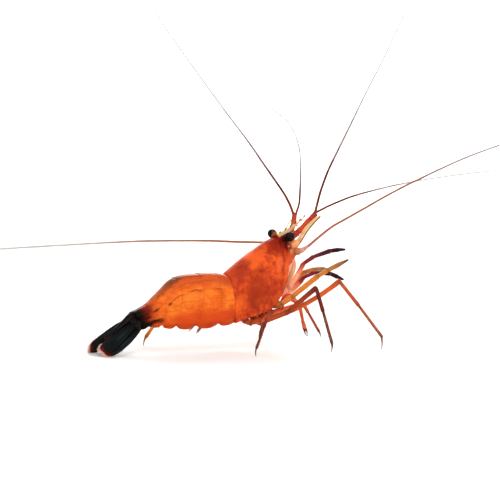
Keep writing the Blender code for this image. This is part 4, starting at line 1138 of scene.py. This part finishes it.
def startLeg(path, radii):
    # the hip, basis and thigh that every walking or clawed leg has
    shape, points = newShape(), [Vector(p) for p in path]
    addSegment(shape, points[0] - Vector((0, 0, 0.1)), points[1], (radii[0], radii[0] * 0.92), (0, 0.14), 1)
    addSegment(shape, points[1], points[2], radii[1:3], (0.14, 0.29))
    addMerus(shape, points, radii)
    along = (points[6] - points[5]).normalized()
    return shape, points, along


def buildWalkingLegs(lines):
    skins = {  # jointed chitin tubes, glossy and thin enough to let some light in
        "3": legMaterial("glossyShrimpFrontLeg", "frontLook"),
        "4": legMaterial("glossyShrimpRearLeg", "rearLook"),
        "5_right": legMaterial("glossyShrimpHindLeg", "hindLook"),
        "5_left": legMaterial("glossyShrimpFarHindLeg", "farHindLook"),
    }
    for name, path in legs["walking"].items():
        radii = [r * legs["slim"].get(name[9:], 1.0) for r in legs["walkingRadii"]]
        shape, points, along = startLeg(path, radii)
        addJoints(shape, points, radii, [(4, 5, 0.95, 1, 0.57, 0.71, 0.85), (5, 6, 0.92, 1, 0.71, 0.92, 0.85)])
        hook = Vector((along.x, along.y, 0)).normalized() * 0.16
        addTipClaw(shape, points[6] - along * 0.15, points[7], radii[6] * 0.95, (0.92, 1.0), hook)
        flank = along.cross(Vector((0, 0, 1))).normalized()
        under = along.cross(flank).normalized()
        for k in range(5):  # spinules under the propodus
            root = points[5].lerp(points[6], 0.3 + 0.15 * k) + under * radii[6] * 0.8
            addSpike(shape, root, root + (along * 0.8 + under * 0.6).normalized() * 0.5, 0.07, 0.9, 0.6, 6)
        for turn in (-1, 1):
            line = [points[5].lerp(points[6], 0.15 + 0.1 * k) + flank * turn * radii[6] * 0.75 for k in range(9)]
            lines.append([(p, (along + flank * turn * 0.8).normalized(), legs["bristleReach"]) for p in line])
        makePiece(name, shape, skins.get(name[9:]) or skins[name[9]], "walking_leg")


def buildClawedLegs(lines):
    skins = {
        "1": legMaterial("glossyShrimpClawLeg", "clawLook"),  # thick chitin, golden orange
        "2": legMaterial("glossyShrimpPickerLeg", "pickLook"),  # thin chitin tube
    }
    (places, profile), steps = zip(*legs["palm"]), (0, 0.2, 0.45, 0.7, 0.88, 0.97, 1)
    for name, path in legs["clawed"].items():
        number = name[9]
        radii, gape, taper = (legs[k][number] for k in ("clawedRadii", "gape", "fingerTaper"))
        shape, points, along = startLeg(path, radii)
        if number == "2":  # the wrist of the second pair is made of many short rings
            for k in range(9):
                addSegment(shape, points[4].lerp(points[5], k / 9), points[4].lerp(points[5], (k + 1) / 9),
                           radii[4:6], (0.57 + 0.014 * k, 0.584 + 0.014 * k), 0.95, sides=12)
        else:
            addSegment(shape, points[4], points[5], (radii[4] * 0.9, radii[5] * 1.1), (0.57, 0.71))
        flank = Vector((-along.z, 0, along.x)).normalized()
        addTube(shape, lineOf(points[5], points[6], places), [radii[6] * r for r in profile],
                [blend(0.71, 0.86, max(t, 0)) for t in places], [bell(t, 0.1) for t in places], 16, 0.8, flank)
        reach = points[7] - points[6]
        for turn in (-1, 1):  # the fixed finger below and the one that moves above
            root = points[6] - along * 0.25 + flank * turn * radii[6] * 0.42
            tip = points[7] + flank * turn * (0.04 + gape * 0.4)
            centres = [root.lerp(tip, t) + flank * turn * gape * math.sin(math.pi * t) for t in steps]
            thick = [radii[6] * 0.5 * (1 - taper * t ** 1.4) for t in steps[:-1]] + [0.05]
            addTube(shape, centres, thick, [0.87 + 0.13 * t for t in steps], 0.0, 12, 0.8, flank)
        lines.append([(points[6] + reach * (k / 6) + flank * radii[6] * 0.5, (along + flank).normalized(), 0.35)
                      for k in range(7)])
        makePiece(name, shape, skins[number], "walking_leg")


def buildFeedingLegs(lines):
    skin = legMaterial("bristledShrimpFeedingLeg", "feedingLook")  # chitin, darkening outward
    radii = legs["feedingRadii"]
    for name, path in legs["feeding"].items():
        shape, points = newShape(), [Vector(p) for p in path]
        addJoints(shape, points, radii, [(0, 1, 1.2, 1, 0, 0.14, 1)])
        bow = points[2] - points[1].lerp(points[3], 0.55)
        addSegment(shape, points[1], points[3], (radii[1], radii[3] * 1.05), (0.14, 0.45), 0.8, bow)
        addJoints(shape, points, radii, [(3, 4, 0.95, 1, 0.45, 0.57, 0.85), (4, 5, 0.95, 1, 0.57, 0.78, 0.85),
                                         (5, 6, 0.95, 1, 0.78, 0.9, 0.85)])
        addTipClaw(shape, points[6], points[7], radii[6] * 0.95, (0.9, 1.0), Vector((0, 0, 0.03)), 0.5)
        for start, end in zip(points[4:6], points[5:7]):
            along = (end - start).normalized()
            under = Vector((along.z, 0, -along.x)).normalized()
            for turn in (-1, 1):
                aim = (along * 0.9 + under * turn).normalized()
                lines.append([(start.lerp(end, 0.1 + 0.85 * k / 8) + under * turn * radii[5] * 0.75, aim, 0.45)
                              for k in range(9)])
        makePiece(name, shape, skin, "feeding_leg")


bristles = {
    # spacing and thickness; real ones stand 0.03 to 0.06 mm apart
    "tail": (0.045, 0.06), "head": (0.11, 0.035), "legs": (0.3, 0.035), "spread": 0.16, "seed": 7,
    "tailTints": [(0, "#b04a3a"), (0.3, "#f2b4a0"), (1, "#fad2c2")],
    "headTints": [(0, "#d88a58"), (0.5, "#f4c496"), (1, "#f8d8b8")],
    "legTints": [(0, "#8c4a30"), (0.5, "#c89478"), (1, "#dcb8a0")],
}


def bristleMaterial(name, tints):
    look = {"plain": tints[1][1], "Roughness": 0.4, "IOR": 1.5, "Subsurface Weight": 0.3,
            "Subsurface Scale": 0.0005}
    material, tree, shader, coords = startMaterial(name, look)
    wire(tree, driftingRamp(tree, "rise", coords, 900.0, 2.0, 0.12, tints), shader)
    return material


def bristleTree():
    # one bent, tapering hair stood on each spot of a margin
    tree, given = newTree("bristleFringe", Margin=("Geometry", None), Spacing=("Float", 0.1 * mm),
                          Thickness=("Float", 0.035 * mm), Spread=("Float", 0.16), Seed=("Int", 7),
                          Skin=("Material", None))
    spots = chain(tree, given["Margin"], ("MeshToCurve", {}, {}),
                  ("ResampleCurve", {"Length": given["Spacing"]}, {"mode": "LENGTH"}))
    cone = {"Vertices": 4, "Side Segments": 4, "Radius Top": 0.12, "Radius Bottom": 1.0, "Depth": 1.0}
    rise = add(tree, "ShaderNodeSeparateXYZ", {0: add(tree, "GeometryNodeInputPosition").outputs[0]}).outputs[2]
    sway = calc(tree, "MULTIPLY", calc(tree, "MULTIPLY", rise, rise), 2.4)
    offset = add(tree, "ShaderNodeCombineXYZ", {0: sway}).outputs[0]
    hair = chain(tree, add(tree, "GeometryNodeMeshCone", cone).outputs[0],
                 ("StoreNamedAttribute", {"Name": "rise", "Value": rise}, {}),
                 ("SetPosition", {"Offset": offset}, {}))
    aim = add(tree, "GeometryNodeInputNamedAttribute", {"Name": "aim"}, data_type="FLOAT_VECTOR").outputs[0]
    reach = add(tree, "GeometryNodeInputNamedAttribute", {"Name": "reach"}).outputs[0]
    wide = add(tree, "ShaderNodeCombineXYZ", {k: given["Spread"] for k in range(3)}).outputs[0]
    limits = {"Min": vectorCalc(tree, "MULTIPLY", wide, (-1, -1, -1)), "Max": wide, "Seed": given["Seed"]}
    stray = add(tree, "FunctionNodeRandomValue", limits, data_type="FLOAT_VECTOR").outputs[0]
    leaning = {"Vector": vectorCalc(tree, "ADD", aim, stray)}
    facing = add(tree, "FunctionNodeAlignRotationToVector", leaning, axis="Z").outputs[0]
    uneven = add(tree, "FunctionNodeRandomValue", {2: 0.72, 3: 1.0, "Seed": given["Seed"]}, data_type="FLOAT")
    tall = calc(tree, "MULTIPLY", reach, uneven.outputs[1])
    size = add(tree, "ShaderNodeCombineXYZ", {0: given["Thickness"], 1: given["Thickness"], 2: tall}).outputs[0]
    hairs = chain(tree, spots, ("InstanceOnPoints", {"Instance": hair, "Rotation": facing, "Scale": size}, {}))
    return endTree(tree, hairs, given["Skin"])


def buildBristles(name, lines, kind, material, slot, tree):
    points, edges = [], []
    marks = {"aim": [], "reach": [], "run": [], "strip": []}
    lines = [line for line in lines if len(line) > 1]
    longest = max(sum((b[0] - a[0]).length for a, b in zip(line, line[1:])) for line in lines)
    for number, line in enumerate(lines):
        run = 0.0
        for k, (place, aim, reach) in enumerate(line):
            if k:
                edges.append((len(points) - 1, len(points)))
                run += (place - line[k - 1][0]).length
            points.append((place + shift) * mm)
            marks["aim"] += list(aim)
            marks["reach"].append(reach * mm)
            marks["run"].append(0.02 + 0.96 * run / longest)
            marks["strip"].append((number + 0.5) / len(lines))
    guide = bpy.data.meshes.new(name + ".margin")
    guide.from_pydata(points, edges, [])
    for label, values in marks.items():
        kinds = ("FLOAT_VECTOR", "vector") if label == "aim" else ("FLOAT", "value")
        guide.attributes.new(label, kinds[0], "POINT").data.foreach_set(kinds[1], values)
    spacing, thickness = bristles[kind]
    piece = runTree(name, guide, tree, Spacing=spacing * mm, Thickness=thickness * mm, Spread=bristles["spread"],
                    Seed=bristles["seed"], Skin=material)
    mesh = piece.data
    for vertex in mesh.vertices:
        vertex.co.z = max(vertex.co.z, 0.0)
    perHair, patch = 4 * 5, 0.003
    run, strip = mesh.attributes["run"].data, mesh.attributes["strip"].data
    # unwrapped, each margin is a strip of its own, and a hair's patch lies on it where the hair is rooted
    layer = mesh.uv_layers.new(name="OFBake")
    for loop in mesh.loops:
        part = loop.vertex_index % perHair
        u, v = run[loop.vertex_index].value, strip[loop.vertex_index].value
        layer.data[loop.index].uv = (u + patch * ((part % 4) / 3 - 0.5), v + patch * ((part // 4) / 4 - 0.5))
    mesh.shade_smooth()
    finishPiece(piece, slot)
    print("bristles", name, len(mesh.vertices) // perHair, "faces", len(mesh.polygons))


studio = {
    "floorTint": "#f4f3f1", "skyTint": "#fafafa", "skyStrength": 0.68, "floorReach": 900, "wallRadius": 420,
    "wallHeight": 900,
    # place, aim, size, watts, tint
    "lamps": [((-120, -260, 330), (0, 0, 12), 200, 0.62, "#ffffff"),
              ((260, -160, 260), (0, 0, 12), 200, 0.3, "#fff8f0"),
              ((60, 260, 300), (0, 0, 12), 220, 0.22, "#f4f8ff"),
              ((290, 466, 700), (461, 738, 600), 600, 20, "#ffffff")],
    "lens": 100, "sensor": 36, "azimuth": -32, "elevation": 3.5, "roll": 2, "target": (0, 0, 21.75),
    "distance": 305.56,
}


def flatUnit(angle):
    return Vector((math.cos(angle), math.sin(angle), 0))


def buildStage():
    look = {"plain": studio["floorTint"], "Roughness": 0.85, "IOR": 1.45, "Coat Weight": 0.0}
    material, tree, shader, coords = startMaterial("mattePaperBackdrop", look)  # seamless matt paper roll
    cloud = noise(tree, coords, 30.0)[0]
    wire(tree, ramp(tree, cloud, [(0.3, "#f2f1ef"), (0.7, studio["floorTint"])]), shader)
    azimuth, half = math.radians(studio["azimuth"]), studio["floorReach"] / 2
    right, away, radius = flatUnit(azimuth), flatUnit(azimuth + math.pi / 2), studio["wallRadius"]
    bend = [(-2 * half, 0.0), (half, 0.0)]
    bend += [(half + radius * math.sin(a), radius * (1 - math.cos(a))) for a in turns(96)[1:25]]
    bend.append((half + radius, studio["wallHeight"]))
    points = [(right * turn * half * 2.8 + away * out + Vector((0, 0, up))) * mm
              for out, up in bend for turn in (-1, 1)]
    mesh = bpy.data.meshes.new("backdrop")
    mesh.from_pydata(points, [], [(2 * k, 2 * k + 1, 2 * k + 3, 2 * k + 2) for k in range(len(bend) - 1)])
    mesh.shade_smooth()
    mesh.materials.append(material)
    backdrop = newObject("backdrop", mesh)


def buildLight():
    world = bpy.data.worlds.new("softStudio")
    bpy.context.scene.world = world
    world.use_nodes = True
    sky = world.node_tree.nodes["Background"]
    sky.inputs["Color"].default_value = toLinear(studio["skyTint"])
    sky.inputs["Strength"].default_value = studio["skyStrength"]
    bpy.context.scene.view_settings.view_transform = "Standard"  # keeps the strong orange and the white floor true
    for k, (place, aim, size, watts, tint) in enumerate(studio["lamps"]):
        lamp = bpy.data.lights.new(f"softLamp{k}", "AREA")
        lamp.shape = "DISK"
        lamp.size = size * mm
        lamp.energy = watts
        lamp.color = toLinear(tint)[:3]
        holder = newObject(f"softLamp{k}", lamp)
        holder.location = Vector(place) * mm
        holder.rotation_mode = "QUATERNION"
        holder.rotation_quaternion = (Vector(aim) - Vector(place)).to_track_quat("-Z", "Y")


def buildCamera():
    azimuth, elevation, roll = (math.radians(studio[k]) for k in ("azimuth", "elevation", "roll"))
    right = flatUnit(azimuth)
    outward = flatUnit(azimuth - math.pi / 2) * math.cos(elevation) + Vector((0, 0, math.sin(elevation)))
    up, turn, level = outward.cross(right), math.sin(roll), math.cos(roll)
    axes = Matrix((right * level + up * turn, up * level - right * turn, outward))
    camera = newObject("camera", bpy.data.cameras.new("camera"))
    camera.data.lens, camera.data.sensor_width = studio["lens"], studio["sensor"]
    camera.data.clip_start, camera.data.clip_end = 0.01, 20.0
    place = (Vector(studio["target"]) + outward * studio["distance"] + shift) * mm
    camera.matrix_world = Matrix.Translation(place) @ axes.transposed().to_4x4()
    bpy.context.scene.camera = camera


buildCarapace()
print("carapace and rostrum done")
buildSomites()
tailLines = buildTailFan()
print("abdomen and tail fan done")
buildEyes()
buildAntennules()
scaleLines = buildAntennaBases()
buildFeelers()
print("eyes and feelers done")
mouthLines = buildMouthparts()
buildUnderside()
pleopodLines = buildPleopods()
legLines = []
buildWalkingLegs(legLines)
buildClawedLegs(legLines)
buildFeedingLegs(legLines)
print("legs and mouthparts done")
fringe = bristleTree()
tailBristles = bristleMaterial("palePinkTailBristles", bristles["tailTints"])  # clear chitin hairs, pale pink
headBristles = bristleMaterial("paleHeadBristles", bristles["headTints"])  # clear chitin hairs, pale straw
legBristles = bristleMaterial("paleLegBristles", bristles["legTints"])  # clear chitin hairs, brownish at the root
buildBristles("tail_fringe", tailLines, "tail", tailBristles, "tail_fan", fringe)
buildBristles("scale_fringe", scaleLines, "head", headBristles, "clear_shell", fringe)
buildBristles("mouth_bristles", mouthLines, "head", headBristles, "clear_shell", fringe)
buildBristles("pleopod_fringe", pleopodLines, "head", headBristles, "underside", fringe)
buildBristles("leg_bristles", legLines, "legs", legBristles, "walking_leg", fringe)
print("bristles done")
buildStage()
buildLight()
buildCamera()
print("floor, light and camera done")
